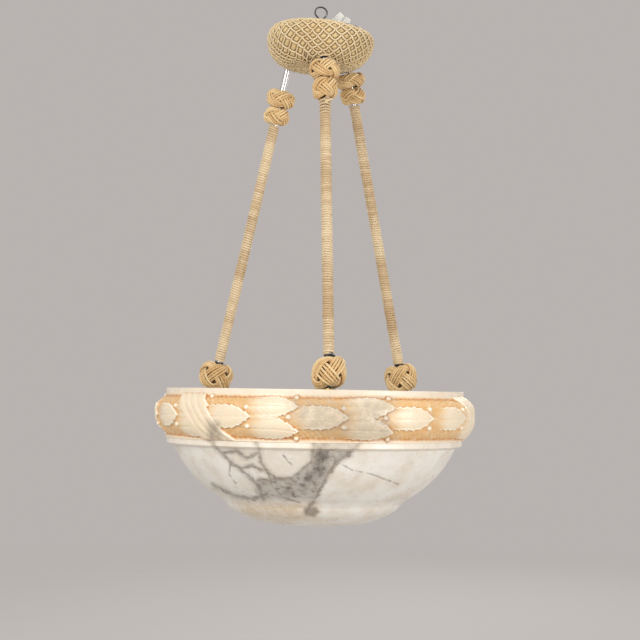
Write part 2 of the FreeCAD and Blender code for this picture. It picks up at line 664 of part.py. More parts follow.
routes = top_routes()
write("sheath_front", routed("sheath_front", routes["front"], CABLE_R))
write("sheath_right", routed("sheath_right", routes["right"], CABLE_R))
write("flex_white", routed("flex_white", routes["left"], FLEX_R))
for name, (middle, lean) in CONNECTORS.items():
    write(name, connector(middle, lean))
ports = {"front": -1, "left": 0, "right": 1}
for colour, side in (("blue", -1), ("brown", 1)):
    middle, lean = CONNECTORS[f"connector_{colour}"]
    leads = [lead(f"lead_{colour}_{arm}", routes[arm], side, middle, lean, port)
             for arm, port in ports.items()]
    write(f"leads_{colour}", *leads)
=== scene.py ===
"""Looks of an alabaster bowl pendant on three rope-wound tubes.

Every length is in metres, apart from names that end in _MM. The frame's origin is the point of the
suspension eye that bears on its hook, with +Z up and the front arm on -Y.
"""
import math

import bpy
import numpy as np
from mathutils import Matrix, Vector
from mathutils.kdtree import KDTree


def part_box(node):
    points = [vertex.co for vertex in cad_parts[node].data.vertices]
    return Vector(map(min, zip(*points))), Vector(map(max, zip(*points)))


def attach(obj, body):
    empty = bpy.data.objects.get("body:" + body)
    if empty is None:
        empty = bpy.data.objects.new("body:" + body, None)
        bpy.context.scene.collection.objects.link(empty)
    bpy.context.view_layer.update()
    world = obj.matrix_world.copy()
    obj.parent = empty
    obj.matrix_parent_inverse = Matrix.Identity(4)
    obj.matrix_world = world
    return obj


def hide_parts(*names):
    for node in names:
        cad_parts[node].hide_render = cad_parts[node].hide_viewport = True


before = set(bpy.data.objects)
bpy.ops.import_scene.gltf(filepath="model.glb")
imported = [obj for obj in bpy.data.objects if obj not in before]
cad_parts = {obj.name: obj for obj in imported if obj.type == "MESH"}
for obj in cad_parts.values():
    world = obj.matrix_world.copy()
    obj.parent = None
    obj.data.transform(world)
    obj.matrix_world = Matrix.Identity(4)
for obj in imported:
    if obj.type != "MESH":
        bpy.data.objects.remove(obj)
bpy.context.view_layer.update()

MM = 0.001

# ---- Camera ----
SHOT_AZIMUTH, SHOT_PITCH, SHOT_ROLL = 6.7, 2.8, 0.9
SHOT_DISTANCE, SHOT_LENS, SENSOR = 2.041, 87.19, 36.0
SHOT_BELOW_LIP = 7.6 * MM
SHOT_ASIDE = 5.0 * MM
PICTURE = 640

# ---- Sizes that repeat the frame's ----
ARMS = {"front": -90.0, "right": 30.0, "left": 150.0}
LIP_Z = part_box("bowl")[1][2]
FOOT_R, FOOT_HEIGHT = 147.0 * MM, 15.0 * MM
TOP_R, TOP_HEIGHT = 48.0 * MM, 427.0 * MM
ARM_TILT = math.atan2(FOOT_R - TOP_R, TOP_HEIGHT - FOOT_HEIGHT)
TUBE_R = 4.0 * MM
CORD_D = 3.2 * MM
TAPE_R, TAPE_LOW = 6.3 * MM, 1.0 * MM
WINDINGS = {"front": (42.0, 375.0), "right": (37.0, 386.0), "left": (35.0, 355.0)}
LOW_KNOTS = {"front": (2.0, 38.7, 44.0), "right": (0.3, 36.0, 45.0), "left": (0.3, 34.0, 46.0)}
TOP_KNOTS = {
    "front": ((375.5, 401.5, 33.3), (402.0, 426.2, 40.4)),
    "right": ((386.5, 406.7, 33.0), (407.2, 425.6, 40.8)),
    "left": ((355.8, 377.3, 34.0), (377.8, 400.0, 38.7)),
}

# the bowl's outline, radius and drop below the lip in mm, with a sag where a stretch is an arc
BOWL_OUTSIDE = [
    (180.5, 0.0), (194.5, 0.0), (194.5, -6.0), (210.0, -31.0, 5.5), (194.5, -63.5, 4.8), (193.0, -63.5),
    (193.0, -70.5), (184.3, -73.7), (129.0, -137.0, 6.5), (115.5, -147.0, -0.8), (100.0, -160.5, 1.5),
    (62.0, -173.0, 1.7), (15.0, -177.2, 0.8), (0.02, -177.2),
]
BOWL_INSIDE = [
    (0.02, -161.2), (15.0, -161.2), (105.5, -138.0, -6.5), (170.3, -73.7, -6.5), (180.5, -60.0),
    (180.5, 0.0),
]

RNG = np.random.default_rng(7)


# ---- Colours ----
def linear(red, green, blue):
    """Linear colour from display values of 0 to 255."""
    def one(value):
        value = value / 255
        return value / 12.92 if value <= 0.04045 else ((value + 0.055) / 1.055) ** 2.4
    return (one(red), one(green), one(blue), 1.0)


BACKDROP = linear(184, 179, 176)
FLOOR = linear(190, 186, 182)


# ---- Materials ----
class Surface:
    """One node material: a Principled shader and the nodes that feed it."""

    def __init__(self, name, **settings):
        self.material = bpy.data.materials.new(name)
        self.material.use_nodes = True
        self.tree = self.material.node_tree
        self.tree.nodes.clear()
        self.out = self.tree.nodes.new("ShaderNodeOutputMaterial")
        self.shader = self.tree.nodes.new("ShaderNodeBsdfPrincipled")
        self.tree.links.new(self.shader.outputs[0], self.out.inputs["Surface"])
        self.place = self.node("ShaderNodeTexCoord").outputs["Object"]
        for key, value in settings.items():
            self.set("IOR" if key == "ior" else key.replace("_", " ").capitalize(), value)

    def set(self, socket, value):
        self.feed(self.shader.inputs[socket], value)

    def feed(self, socket, value):
        if isinstance(value, bpy.types.NodeSocket):
            self.tree.links.new(value, socket)
        elif value is not None:
            socket.default_value = value

    def node(self, kind, inputs=None, **properties):
        made = self.tree.nodes.new(kind)
        for key, value in properties.items():
            setattr(made, key, value)
        for key, value in (inputs or {}).items():
            self.feed(made.inputs[key], value)
        return made

    def math(self, operation, first, second=None):
        return self.node("ShaderNodeMath", {0: first, 1: second}, operation=operation).outputs[0]

    def scaled(self, vector, x, y, z):
        made = self.node("ShaderNodeVectorMath", {0: vector, 1: (x, y, z)}, operation="MULTIPLY")
        return made.outputs[0]

    def noise(self, scale, detail=3.0, roughness=0.55, distortion=0.0, vector=None):
        inputs = {"Vector": vector or self.place, "Scale": scale, "Detail": detail,
                  "Roughness": roughness, "Distortion": distortion}
        return self.node("ShaderNodeTexNoise", inputs).outputs[0]

    def spread(self, value, low, high, to_low=0.0, to_high=1.0):
        """Value from low..high brought to to_low..to_high, and held there."""
        made = self.node("ShaderNodeMapRange", {0: value, 1: low, 2: high, 3: to_low, 4: to_high},
                         interpolation_type="SMOOTHSTEP")
        return made.outputs[0]

    def mix(self, share, first, second):
        made = self.node("ShaderNodeMix", data_type="RGBA")
        self.feed(made.inputs[0], share)
        self.feed(made.inputs[6], first)
        self.feed(made.inputs[7], second)
        return made.outputs[2]

    def attribute(self, name, output="Fac"):
        made = self.node("ShaderNodeAttribute", attribute_type="GEOMETRY", attribute_name=name)
        return made.outputs[output]

    def bump(self, height, distance, strength):
        made = self.node("ShaderNodeBump", {"Height": height, "Distance": distance, "Strength": strength})
        self.set("Normal", made.outputs[0])


def cord_surface(name, shadow, middle, light, lay_mm, strands=3):
    """Twisted cord with fibres and lighter and darker patches, and painted shade in the grooves between its
    strands.
    """
    s = Surface(name, roughness=0.62)
    s.set("Specular IOR Level", 0.35)
    s.set("Sheen Weight", 0.25)
    s.set("Sheen Roughness", 0.5)
    lay = s.node("ShaderNodeSeparateXYZ", {0: s.attribute("lay", "Vector")})
    angle = s.math("ARCTAN2", lay.outputs[1], lay.outputs[0])
    turn = s.math("MULTIPLY", lay.outputs[2], 2 * math.pi / lay_mm)
    phase = s.math("MULTIPLY", s.math("ADD", angle, turn), strands / 2)
    ridge = s.math("ABSOLUTE", s.math("SINE", phase))
    fibre = s.noise(2600.0, 3.0, 0.6)
    patches = s.noise(95.0, 4.0, 0.6, 0.4)
    tone = s.math("ADD", s.math("MULTIPLY", s.attribute("shade"), 0.75), s.math("MULTIPLY", patches, 0.5))
    colour = s.mix(s.spread(tone, 0.25, 0.95), middle, light)
    # painted shade: the grooves between the strands are mixed towards the shadow colour
    painted_groove_shade = s.spread(ridge, 0.0, 0.5, 0.45, 0.0)
    colour = s.mix(painted_groove_shade, colour, shadow)
    colour = s.mix(s.math("MULTIPLY", s.spread(fibre, 0.35, 0.65), 0.18), colour, shadow)
    s.set("Base Color", colour)
    height = s.math("ADD", s.spread(ridge, 0.0, 0.8), s.math("MULTIPLY", fibre, 0.35))
    s.bump(height, 0.25 * MM, 0.7)
    return s.material


def cloth_surface():
    """Ribbed tan cloth under the net, with painted shade in its hollows beside the net's cords."""
    s = Surface("canopy_cloth", roughness=0.85)
    s.set("Sheen Weight", 0.2)
    s.set("Specular IOR Level", 0.2)
    weave = s.node("ShaderNodeSeparateXYZ", {0: s.attribute("weave", "Vector")})
    ribs = s.math("SINE", s.math("MULTIPLY", weave.outputs[1], 2 * math.pi / 1.7))
    threads = s.math("SINE", s.math("MULTIPLY", weave.outputs[0], 2 * math.pi / 0.9))
    patches = s.noise(60.0, 4.0, 0.6)
    tone = s.math("ADD", s.math("MULTIPLY", ribs, 0.16), patches)
    colour = s.mix(s.spread(tone, 0.2, 0.85), linear(206, 178, 124), linear(234, 210, 160))
    # painted shade: where the cloth sinks beside the net's cords it is mixed towards dark brown
    colour = s.mix(s.attribute("hollow"), colour, linear(132, 96, 54))
    s.set("Base Color", colour)
    height = s.math("ADD", ribs, s.math("MULTIPLY", threads, 0.35))
    s.bump(s.math("ADD", height, s.math("MULTIPLY", s.noise(900.0), 0.6)), 0.22 * MM, 0.8)
    return s.material


def metal_surface(name, colour, roughness, spots=None, spot_share=0.0, scale=220.0, depth_mm=0.03):
    """Metal with fine scratches, and duller spots where it has aged."""
    s = Surface(name, metallic=1.0)
    grime = s.noise(scale, 5.0, 0.65)
    fine = s.noise(1400.0, 2.0, 0.5, vector=s.scaled(s.place, 1.0, 1.0, 0.12))
    worn = s.spread(grime, 0.62 - spot_share, 0.82 - spot_share)
    s.set("Base Color", s.mix(worn, colour, spots or colour))
    both = s.math("ADD", s.math("MULTIPLY", grime, 0.7), s.math("MULTIPLY", fine, 0.3))
    s.set("Roughness", s.spread(both, 0.3, 0.8, roughness * 0.75, roughness * 1.6))
    s.bump(fine, depth_mm * MM, 0.35)
    return s.material


def plastic_surface(name, colour, roughness, dust=None, grain=700.0, depth_mm=0.04):
    """Moulded plastic, rubber or enamel: slight mottling, dust and orange peel."""
    s = Surface(name)
    mottle = s.noise(120.0, 4.0, 0.6)
    peel = s.noise(grain, 2.0, 0.5)
    darker = tuple(0.82 * v for v in colour[:3]) + (1.0,)
    tinted = s.mix(s.spread(mottle, 0.3, 0.75), darker, colour)
    if dust:
        dusty = s.math("MULTIPLY", s.spread(s.noise(260.0, 5.0, 0.7), 0.55, 0.8), 0.35)
        tinted = s.mix(dusty, tinted, dust)
    s.set("Base Color", tinted)
    s.set("Roughness", s.spread(mottle, 0.3, 0.75, roughness * 0.85, roughness * 1.2))
    s.bump(peel, depth_mm * MM, 0.6)
    return s.material


def tape_surface():
    """Stretched black insulating tape: gloss, pulled lines and lap edges."""
    s = Surface("black_tape")
    worn = s.spread(s.noise(150.0, 4.0), 0.35, 0.7)
    s.set("Base Color", s.mix(worn, linear(22, 23, 27), linear(48, 50, 56)))
    stretch = s.noise(500.0, 3.0, 0.6, vector=s.scaled(s.place, 1.0, 1.0, 6.0))
    s.set("Roughness", s.spread(stretch, 0.3, 0.7, 0.22, 0.42))
    s.set("Coat Weight", 0.3)
    s.set("Coat Roughness", 0.2)
    s.bump(stretch, 0.15 * MM, 0.7)
    return s.material


def opal_surface():
    """Opal glass of the lamps."""
    s = Surface("opal_glass")
    cloud = s.noise(40.0, 3.0)
    s.set("Base Color", s.mix(cloud, linear(236, 232, 222), linear(248, 246, 240)))
    s.set("Roughness", s.spread(cloud, 0.3, 0.7, 0.12, 0.2))
    s.set("Subsurface Weight", 0.4)
    s.set("Subsurface Radius", (0.01, 0.01, 0.008))
    s.bump(s.noise(90.0), 0.05 * MM, 0.3)
    return s.material


# ---- Meshes ----
def mesh_object(name, points, faces, material, attributes=None):
    """One mesh piece from points in the frame, with attributes for its shader."""
    data = bpy.data.meshes.new(name)
    points = np.asarray(points, dtype=np.float32)
    faces = np.asarray(faces, dtype=np.int32)
    data.vertices.add(len(points))
    data.vertices.foreach_set("co", points.ravel())
    data.loops.add(faces.size)
    data.loops.foreach_set("vertex_index", faces.ravel())
    data.polygons.add(len(faces))
    data.polygons.foreach_set("loop_start", np.arange(0, faces.size, faces.shape[1], dtype=np.int32))
    data.update(calc_edges=True)
    for key, values in (attributes or {}).items():
        values = np.asarray(values, dtype=np.float32)
        if values.ndim == 2:
            made = data.attributes.new(key, "FLOAT_VECTOR", "POINT")
            made.data.foreach_set("vector", values.ravel())
        else:
            made = data.attributes.new(key, "FLOAT", "POINT")
            made.data.foreach_set("value", values)
    data.polygons.foreach_set("use_smooth", np.ones(len(faces), dtype=bool))
    data.validate()
    data.materials.append(material)
    made = bpy.data.objects.new(name, data)
    bpy.context.scene.collection.objects.link(made)
    return made


def grid_faces(rows, columns, wrap):
    """Quads of a grid of rows by columns, closed round its columns where wrap is true."""
    row = np.arange(rows - 1)[:, None]
    column = np.arange(columns if wrap else columns - 1)[None, :]
    after = (column + 1) % columns
    corners = [row * columns + column, row * columns + after,
               (row + 1) * columns + after, (row + 1) * columns + column]
    return np.stack([c.ravel() for c in np.broadcast_arrays(*corners)], axis=1)


def run_of(points):
    """Distance of each of a path's points from its start."""
    return np.concatenate([[0], np.cumsum(np.linalg.norm(np.diff(points, axis=0), axis=1))])


def headings(points):
    """Unit direction of a path at each of its points."""
    ahead = np.gradient(points, axis=0)
    return ahead / np.linalg.norm(ahead, axis=1)[:, None]


class Builder:
    """Collects several surfaces into one mesh piece."""

    def __init__(self):
        self.points, self.faces, self.values = [], [], {}
        self.count = 0

    def add(self, points, faces, **values):
        points = np.asarray(points).reshape(-1, 3)
        self.points.append(points)
        self.faces.append(np.asarray(faces) + self.count)
        for key, value in values.items():
            value = np.asarray(value, dtype=float)
            shape = (len(points), 3) if key in ("lay", "weave") else (len(points),)
            value = value.reshape(shape) if value.ndim else value
            self.values.setdefault(key, []).append(np.broadcast_to(value, shape))
        self.count += len(points)

    def tube(self, path, radius, sides=8, shade=0.5):
        """Round cord along a path of points, with the lay of its strands."""
        path = np.asarray(path, dtype=float)
        ahead = headings(path)
        side = np.zeros_like(path)
        first = np.cross(ahead[0], (0.0, 0.0, 1.0) if abs(ahead[0][2]) < 0.9 else (1.0, 0.0, 0.0))
        here = first / np.linalg.norm(first)
        for k, heading in enumerate(ahead):
            here = here - heading * np.dot(here, heading)
            here /= np.linalg.norm(here)
            side[k] = here
        up = np.cross(ahead, side)
        round_angle = np.linspace(0, 2 * math.pi, sides, endpoint=False)
        radius = np.broadcast_to(radius, len(path))
        over, beside = np.cos(round_angle)[None, :], np.sin(round_angle)[None, :]
        ring = side[:, None, :] * over[..., None] + up[:, None, :] * beside[..., None]
        points = path[:, None, :] + radius[:, None, None] * ring
        length = run_of(path) / MM
        lay = np.stack(np.broadcast_arrays(over, beside, length[:, None]), axis=2)
        shade = np.broadcast_to(shade, len(path))
        self.add(points, grid_faces(len(path), sides, True), lay=lay, shade=np.repeat(shade, sides))
        for end, at in ((0, path[0]), (len(path) - 1, path[-1])):
            cap = np.vstack([points[end], at[None, :]])
            even = np.arange(0, sides, 2)
            quads = np.stack([np.full(sides // 2, sides), even, even + 1, (even + 2) % sides], axis=1)
            self.add(cap, quads, lay=np.zeros((sides + 1, 3)), shade=np.full(sides + 1, shade[end]))

    def make(self, name, material):
        values = {key: np.concatenate(parts) for key, parts in self.values.items()}
        return mesh_object(name, np.concatenate(self.points), np.concatenate(self.faces), material, values)


def smooth_noise(count, knots, spread=1.0, closed=False):
    """Random curve of count values through about as many knots."""
    values = RNG.normal(0, spread, knots)
    if closed:
        values[-1] = values[0]
    at = np.linspace(0, knots - 1, count)
    low = np.minimum(at.astype(int), knots - 2)
    share = at - low
    share = share * share * (3 - 2 * share)
    return values[low] * (1 - share) + values[low + 1] * share


# ---- Places on an arm ----
def arm_point(arm, across, sideways, height):
    """Frame points given across, sideways and by height along an arm's slanted axis, in metres."""
    azimuth = math.radians(ARMS[arm])
    out = np.array([math.cos(azimuth), math.sin(azimuth), 0.0])
    side = np.array([-math.sin(azimuth), math.cos(azimuth), 0.0])
    up = np.array([0.0, 0.0, 1.0])
    axis = up * math.cos(ARM_TILT) - out * math.sin(ARM_TILT)
    normal = out * math.cos(ARM_TILT) + up * math.sin(ARM_TILT)
    foot = out * FOOT_R + up * (LIP_Z + FOOT_HEIGHT)
    along = (np.asarray(height) - FOOT_HEIGHT) / math.cos(ARM_TILT)
    across, sideways, along = np.broadcast_arrays(across, sideways, along)
    return foot + across[..., None] * normal + sideways[..., None] * side + along[..., None] * axis


# ---- Cord windings ----
TURN_STEPS = 30


def winding(arm, cord):
    """Cord wound left-handed round a tube, one layer, as unevenly as by hand."""
    low, high = (h * MM for h in WINDINGS[arm])
    loose = 6 if arm == "front" else 0
    pitch = CORD_D * math.cos(ARM_TILT)
    turns = int((high - low - loose * 1.35 * pitch) / pitch) + loose
    count = turns * TURN_STEPS + 1
    turn = np.linspace(0, turns, count)
    slack = np.clip((turn - (turns - loose)) / max(loose, 1), 0, 1) if loose else np.zeros(count)
    step = 1 + 0.1 * smooth_noise(count, turns // 4, 0.25)
    step = step + slack * (0.5 + 0.3 * smooth_noise(count, turns, 1.0))
    climb = np.concatenate([[0], np.cumsum(step)[:-1]])
    climb = climb / climb[-1]
    tilt = 0.35 * MM + 0.3 * MM * smooth_noise(count, turns // 5, 0.6) + slack * 0.9 * MM
    facing = smooth_noise(count, turns // 8, 0.9)
    angle = -2 * math.pi * turn
    height = low + CORD_D / 2 + (high - low - CORD_D) * climb + tilt * np.sin(angle + facing)
    radius = TUBE_R + CORD_D / 2 + 0.12 * MM * np.abs(smooth_noise(count, turns * 2, 1.0)) + slack * 0.5 * MM
    path = arm_point(arm, radius * np.cos(angle), radius * np.sin(angle), height)
    shade = 0.5 + 0.28 * smooth_noise(count, max(4, turns // 9)) + 0.14 * smooth_noise(count, turns)
    made = Builder()
    made.tube(path, CORD_D / 2 * (1 + 0.04 * smooth_noise(count, turns * 3)), 10, np.clip(shade, 0, 1))
    if arm == "front":
        lead = np.linspace(0, 1, 26)
        wander = np.radians(150 - 165 * lead)
        far = TUBE_R + CORD_D / 2 + 3.4 * MM * np.sin(math.pi * lead)
        drop = (2.5 - 11.0 * lead ** 1.3) * MM
        tail = arm_point(arm, far * np.cos(wander), far * np.sin(wander), high + drop)
        made.tube(tail, CORD_D / 2 * 0.95, 10, 0.7)
    return made.make(f"winding_cord_{arm}", cord)


# ---- Knots ----
KNOT_CORD = 3.1 * MM
KNOT_STEPS = 420


def knot_point(radius, half, core, angle, rise, lift):
    """Point on a knot's bun, where rise is the distance from its equator along its side."""
    quarter = 0.5 * math.pi * math.sqrt((half ** 2 + (radius - core) ** 2) / 2)
    latitude = np.clip(rise / quarter, -1, 1) * math.pi / 2
    out = core + (radius - core) * np.cos(latitude) ** 0.85 + lift * np.cos(latitude)
    return out * np.cos(angle), out * np.sin(angle), (half + 0.6 * lift) * np.sin(latitude)


def knot(name, arm, low, high, width, cord, filler_painted_shade, strands=4, leads=3, bights=4):
    """Turk's head of parallel cords over a bun of cord ends, the bun in darker cord as painted shade seen
    through the gaps.
    """
    low, high, width = low * MM, high * MM, width * MM
    middle, half = (low + high) / 2, (high - low) / 2
    half = half / math.cos(ARM_TILT) - KNOT_CORD / 2
    core = TUBE_R + KNOT_CORD * 0.9
    radius = width / 2 - KNOT_CORD * 0.75
    turn = np.linspace(0, 2 * math.pi * leads, KNOT_STEPS)
    phase = RNG.uniform(0, 2 * math.pi)
    quarter = 0.5 * math.pi * math.sqrt((half ** 2 + (radius - core) ** 2) / 2)
    reach = quarter - (strands / 2) * KNOT_CORD * 0.8
    wave = bights / leads
    rise = reach * np.sin(wave * turn)
    over = KNOT_CORD * 0.6 * np.sin(2 * wave * turn)
    run = 0.72 * radius
    slope = reach * wave * np.cos(wave * turn) / run
    lean = np.arctan(slope)
    made = Builder()
    tip_across, tip_side = RNG.normal(0, 0.05, 2)
    for strand in range(strands):
        offset = (strand - (strands - 1) / 2) * KNOT_CORD * 0.93
        offset = offset * (1 + 0.06 * smooth_noise(KNOT_STEPS, 14, 1.0, True))
        angle = turn - offset * np.sin(lean) / run
        here = rise + offset * np.cos(lean) + 0.3 * MM * smooth_noise(KNOT_STEPS, 12, 1.0, True)
        lift = over + 0.35 * MM * smooth_noise(KNOT_STEPS, 18, 1.0, True)
        across, side, up = knot_point(radius, half, core, angle + phase, here, lift)
        up = up + tip_across * across + tip_side * side
        path = arm_point(arm, across, side, middle + up * math.cos(ARM_TILT))
        path[-1] = path[0]
        shade = np.clip(0.5 + 0.25 * smooth_noise(KNOT_STEPS, 12, 1.0, True) + RNG.normal(0, 0.1), 0, 1)
        made.tube(path, KNOT_CORD / 2, 10, shade)
    piece = made.make(name, cord)
    # the heart: dark cord and a low shade value, painted shade for the gaps between the knot's cords
    inner = Builder()
    rounds = 34
    angle = np.linspace(0, 2 * math.pi, 48, endpoint=False)
    rise = np.linspace(-quarter, quarter, rounds)
    across, side, up = knot_point(radius - KNOT_CORD * 0.75, half - KNOT_CORD * 0.6, core, angle[None, :],
                                  rise[:, None], 0.25 * MM * np.sin(rise[:, None] * 2 * math.pi / KNOT_CORD))
    up = up + tip_across * across + tip_side * side
    inner.add(arm_point(arm, across, side, middle + up * math.cos(ARM_TILT)), grid_faces(rounds, 48, True),
              lay=np.zeros((rounds * 48, 3)), shade=0.2)
    return piece, inner.make(name + "_heart", filler_painted_shade)


# ---- Tape ----
def tape(arm, material):
    """Black tape lapped round a tube, its upper lap uneven."""
    low, high = TAPE_LOW, WINDINGS[arm][0] * MM + 0.8 * MM
    rows, columns = 120, 64
    angle = np.linspace(0, 2 * math.pi, columns, endpoint=False)[None, :]
    share = np.linspace(0, 1, rows)[:, None]
    height = low + (high - low) * share
    lap = np.mod((height / MM) / 4.6 + angle / (2 * math.pi), 1.0)
    wrinkle = 0.10 * np.sin(9 * angle + 40 * share) + 0.14 * np.sin(5 * angle - 23 * share)
    radius = TAPE_R + (0.55 * lap ** 3 + wrinkle * (0.4 + 0.6 * lap)) * MM - 0.55 * MM
    made = Builder()
    wrap = arm_point(arm, radius * np.cos(angle), radius * np.sin(angle), height)
    made.add(wrap, grid_faces(rows, columns, True))
    if arm == "front":
        steps, across_steps = 30, 6
        lead = np.linspace(0, 1, steps)[:, None]
        width = np.linspace(-0.5, 0.5, across_steps)[None, :] * 3.4 * MM
        sideways = (2.0 + 13.5 * lead) * MM
        outward = (6.2 * np.cos(1.4 * lead) + 1.5 * lead) * MM + 0.2 * width * np.sin(3 * lead)
        fall = high - (2.0 + 5.6 * lead ** 1.3) * MM + width * (1 - 0.25 * lead)
        for skin in (0.0, 0.35 * MM):
            flap = arm_point(arm, outward + skin, sideways, fall)
            made.add(flap, grid_faces(steps, across_steps, False))
    return made.make(f"tape_wrap_{arm}", material)


# ---- Outlines ----
def outline(points, step=1.0):
    """Dense (radius, height) points in mm; a stretch bows to the left of travel where sag is above 0."""
    dense = [np.array(points[0][:2], dtype=float)]
    for before, after in zip(points, points[1:]):
        start, end = np.array(before[:2], dtype=float), np.array(after[:2], dtype=float)
        sag = after[2] if len(after) > 2 else 0.0
        chord = end - start
        reach = np.linalg.norm(chord)
        normal = np.array([-chord[1], chord[0]]) / reach
        count = max(1, int(reach / step))
        share = np.linspace(0, 1, count + 1)[1:, None]
        bow = 0.0
        if sag:
            radius = (reach ** 2 / 4 + sag ** 2) / (2 * abs(sag))
            off = (share - 0.5) * reach
            bow = (np.sqrt(radius ** 2 - off ** 2) - (radius - abs(sag))) * math.copysign(1, sag)
        dense += list(start + chord * share + normal * bow)
    return np.array(dense)


def resampled(points, count):
    """The same outline in count even steps, with its outward normals."""
    length = run_of(points)
    at = np.linspace(0, length[-1], count)
    even = np.stack([np.interp(at, length, points[:, k]) for k in (0, 1)], axis=1)
    ahead = headings(even)
    return even, np.stack([-ahead[:, 1], ahead[:, 0]], axis=1), at


def blurred(field, reach, wrap=True):
    """Field smoothed over reach cells each way, closed round its columns."""
    kernel = np.hanning(2 * reach + 3)[1:-1]
    kernel /= kernel.sum()
    out = sum(w * np.roll(field, k - reach, axis=1) for k, w in enumerate(kernel))
    padded = np.pad(out, ((reach, reach), (0, 0)), mode="edge")
    return sum(w * padded[k:k + field.shape[0]] for k, w in enumerate(kernel))


# ---- The photograph's view of the bowl ----
FOCAL = SHOT_LENS / SENSOR * PICTURE
BOWL_AT_X = 316


def shot_axes():
    """Camera's place and its right, up and forward directions."""
    azimuth, pitch, roll = (math.radians(v) for v in (SHOT_AZIMUTH, SHOT_PITCH, SHOT_ROLL))
    right = np.array([math.cos(azimuth), -math.sin(azimuth), 0.0])
    level = np.array([math.sin(azimuth), math.cos(azimuth), 0.0])
    up = np.array([0.0, 0.0, 1.0])
    ahead = level * math.cos(pitch) + up * math.sin(pitch)
    rise = up * math.cos(pitch) - level * math.sin(pitch)
    place = -level * SHOT_DISTANCE + up * (LIP_Z - SHOT_BELOW_LIP) + right * SHOT_ASIDE
    rolled = right * math.cos(roll) + rise * math.sin(roll)
    return place, rolled, rise * math.cos(roll) - right * math.sin(roll), ahead


def pixel_of(points):
    """Picture positions of frame points."""
    place, right, up, ahead = shot_axes()
    away = np.asarray(points) - place
    depth = away @ ahead
    across, above = FOCAL * (away @ right) / depth, FOCAL * (away @ up) / depth
    return np.stack([PICTURE / 2 + across, PICTURE / 2 - above], axis=-1)


def line_distance(spots, line):
    """Distance of picture positions from a polyline, in pixels."""
    best = np.full(len(spots), 1e3)
    for start, end in zip(line, line[1:]):
        start, end = np.array(start, float), np.array(end, float)
        along = end - start
        share = np.clip((spots - start) @ along / (along @ along), 0, 1)
        best = np.minimum(best, np.linalg.norm(spots - start - share[:, None] * along, axis=1))
    return best


def region_depth(spots, corners):
    """How far picture positions lie inside a closed outline, negative outside, in pixels."""
    inside = np.zeros(len(spots), dtype=bool)
    for (ax, ay), (bx, by) in zip(corners, corners[1:] + corners[:1]):
        crosses = (ay > spots[:, 1]) != (by > spots[:, 1])
        reach = ax + (spots[:, 1] - ay) * (bx - ax) / ((by - ay) or 1e-9)
        inside ^= crosses & (spots[:, 0] < reach)
    distance = line_distance(spots, corners + corners[:1])
    return np.where(inside, distance, -distance)


VEINS = [
    [(206, 437), (212, 443), (222, 453), (231, 462), (240, 469), (249, 476), (259, 487), (263, 499)],
    [(254, 437), (259, 448), (261, 462), (268, 473), (278, 479)],
    [(213, 485), (220, 488), (233, 495), (254, 499), (266, 494)],
    [(314, 443), (311, 462), (301, 471), (291, 478), (259, 480)],
    [(360, 443), (348, 455), (337, 462), (327, 476), (320, 489), (314, 501), (306, 512)],
    [(240, 469), (252, 465), (262, 470)], [(222, 453), (236, 451), (247, 458), (259, 452)],
]
FINE_VEINS = [
    [(283, 455), (288, 461), (292, 465)], [(316, 452), (320, 458), (322, 464)],
    [(231, 462), (229, 474), (236, 484)],
    [(337, 462), (352, 470), (371, 474), (398, 484)], [(268, 473), (272, 486), (283, 497), (301, 503)],
]
GREY_MASS = [(314, 443), (360, 443), (348, 456), (337, 462), (327, 476), (320, 489), (314, 500), (286, 500),
             (258, 498), (254, 488), (258, 480), (291, 478), (303, 470), (311, 462)]
DARK_CORE = [(318, 444), (328, 446), (326, 462), (322, 478), (300, 487), (304, 478), (316, 464)]
WHITE_BLOBS = [(231, 447), (249, 449), (262, 456), (290, 448), (313, 449), (309, 462), (300, 470), (283, 475),
               (268, 470), (258, 462), (246, 461)]
TAN_PATCH = [(233, 501), (262, 503), (300, 503), (321, 503), (318, 518), (288, 523), (250, 517)]
SOLE_SPOT = [(304, 508), (316, 507), (320, 512), (314, 517), (305, 515)]
RIM_GREY = [(291, 396), (392, 396), (392, 439), (340, 439), (310, 432), (291, 420)]
RIM_STREAK = [(207, 420), (219, 422), (222, 441), (208, 441)]


def stone_marks(points):
    """Vein and colour marks of the stone; the far side has the near side's, mirrored."""
    place = shot_axes()[0]
    to_camera = np.array([place[0], place[1]]) / np.hypot(place[0], place[1])
    facing = points[:, 0] * to_camera[0] + points[:, 1] * to_camera[1] > 0
    turned = points.copy()
    turned[~facing, :2] *= -1
    spots = pixel_of(turned)
    spots[~facing, 0] = 2 * BOWL_AT_X - spots[~facing, 0]

    def soft(corners, edge):
        return np.clip(0.5 + region_depth(spots, corners) / edge, 0, 1)

    vein = np.minimum.reduce([line_distance(spots, line) for line in VEINS])
    fine = np.minimum.reduce([line_distance(spots, line) for line in FINE_VEINS])
    return {"vein": np.minimum(vein, 20), "fine": np.minimum(fine, 20), "mass": soft(GREY_MASS, 5),
            "core": soft(DARK_CORE, 8), "pale": soft(WHITE_BLOBS, 7), "tan": soft(TAN_PATCH, 7),
            "spot": soft(SOLE_SPOT, 3), "rim_grey": np.maximum(0.7 * soft(RIM_GREY, 18), soft(RIM_STREAK, 6))}


# ---- Carved rim ----
ROLL_TOP, ROLL_FOOT = (194.5, -6.0), (194.5, -63.5)
LEAF_PERIOD, LEAF_L, LEAF_W, LEAF_TAPER = 33.0, 90.0, 31.0, 31.0
MIDDLE_TIP, OUTER_TIP = 24.4, 40.9
ROW_APART = 15.6
RIBBON_AT, RIBBON_OFF, RIBBON_HALF, RIBBON_SLANT = -46.0, 2.6, 6.4, -6.5
GROUND = -4.3
RIM_R = 208.0
LEAF_LOW, LEAF_HIGH = -3.7, -0.8
SIDE_VEINS_APART = 8.2
BERRY_R, BERRY_AT = 3.2, -3.4
NOTHING = -99.0


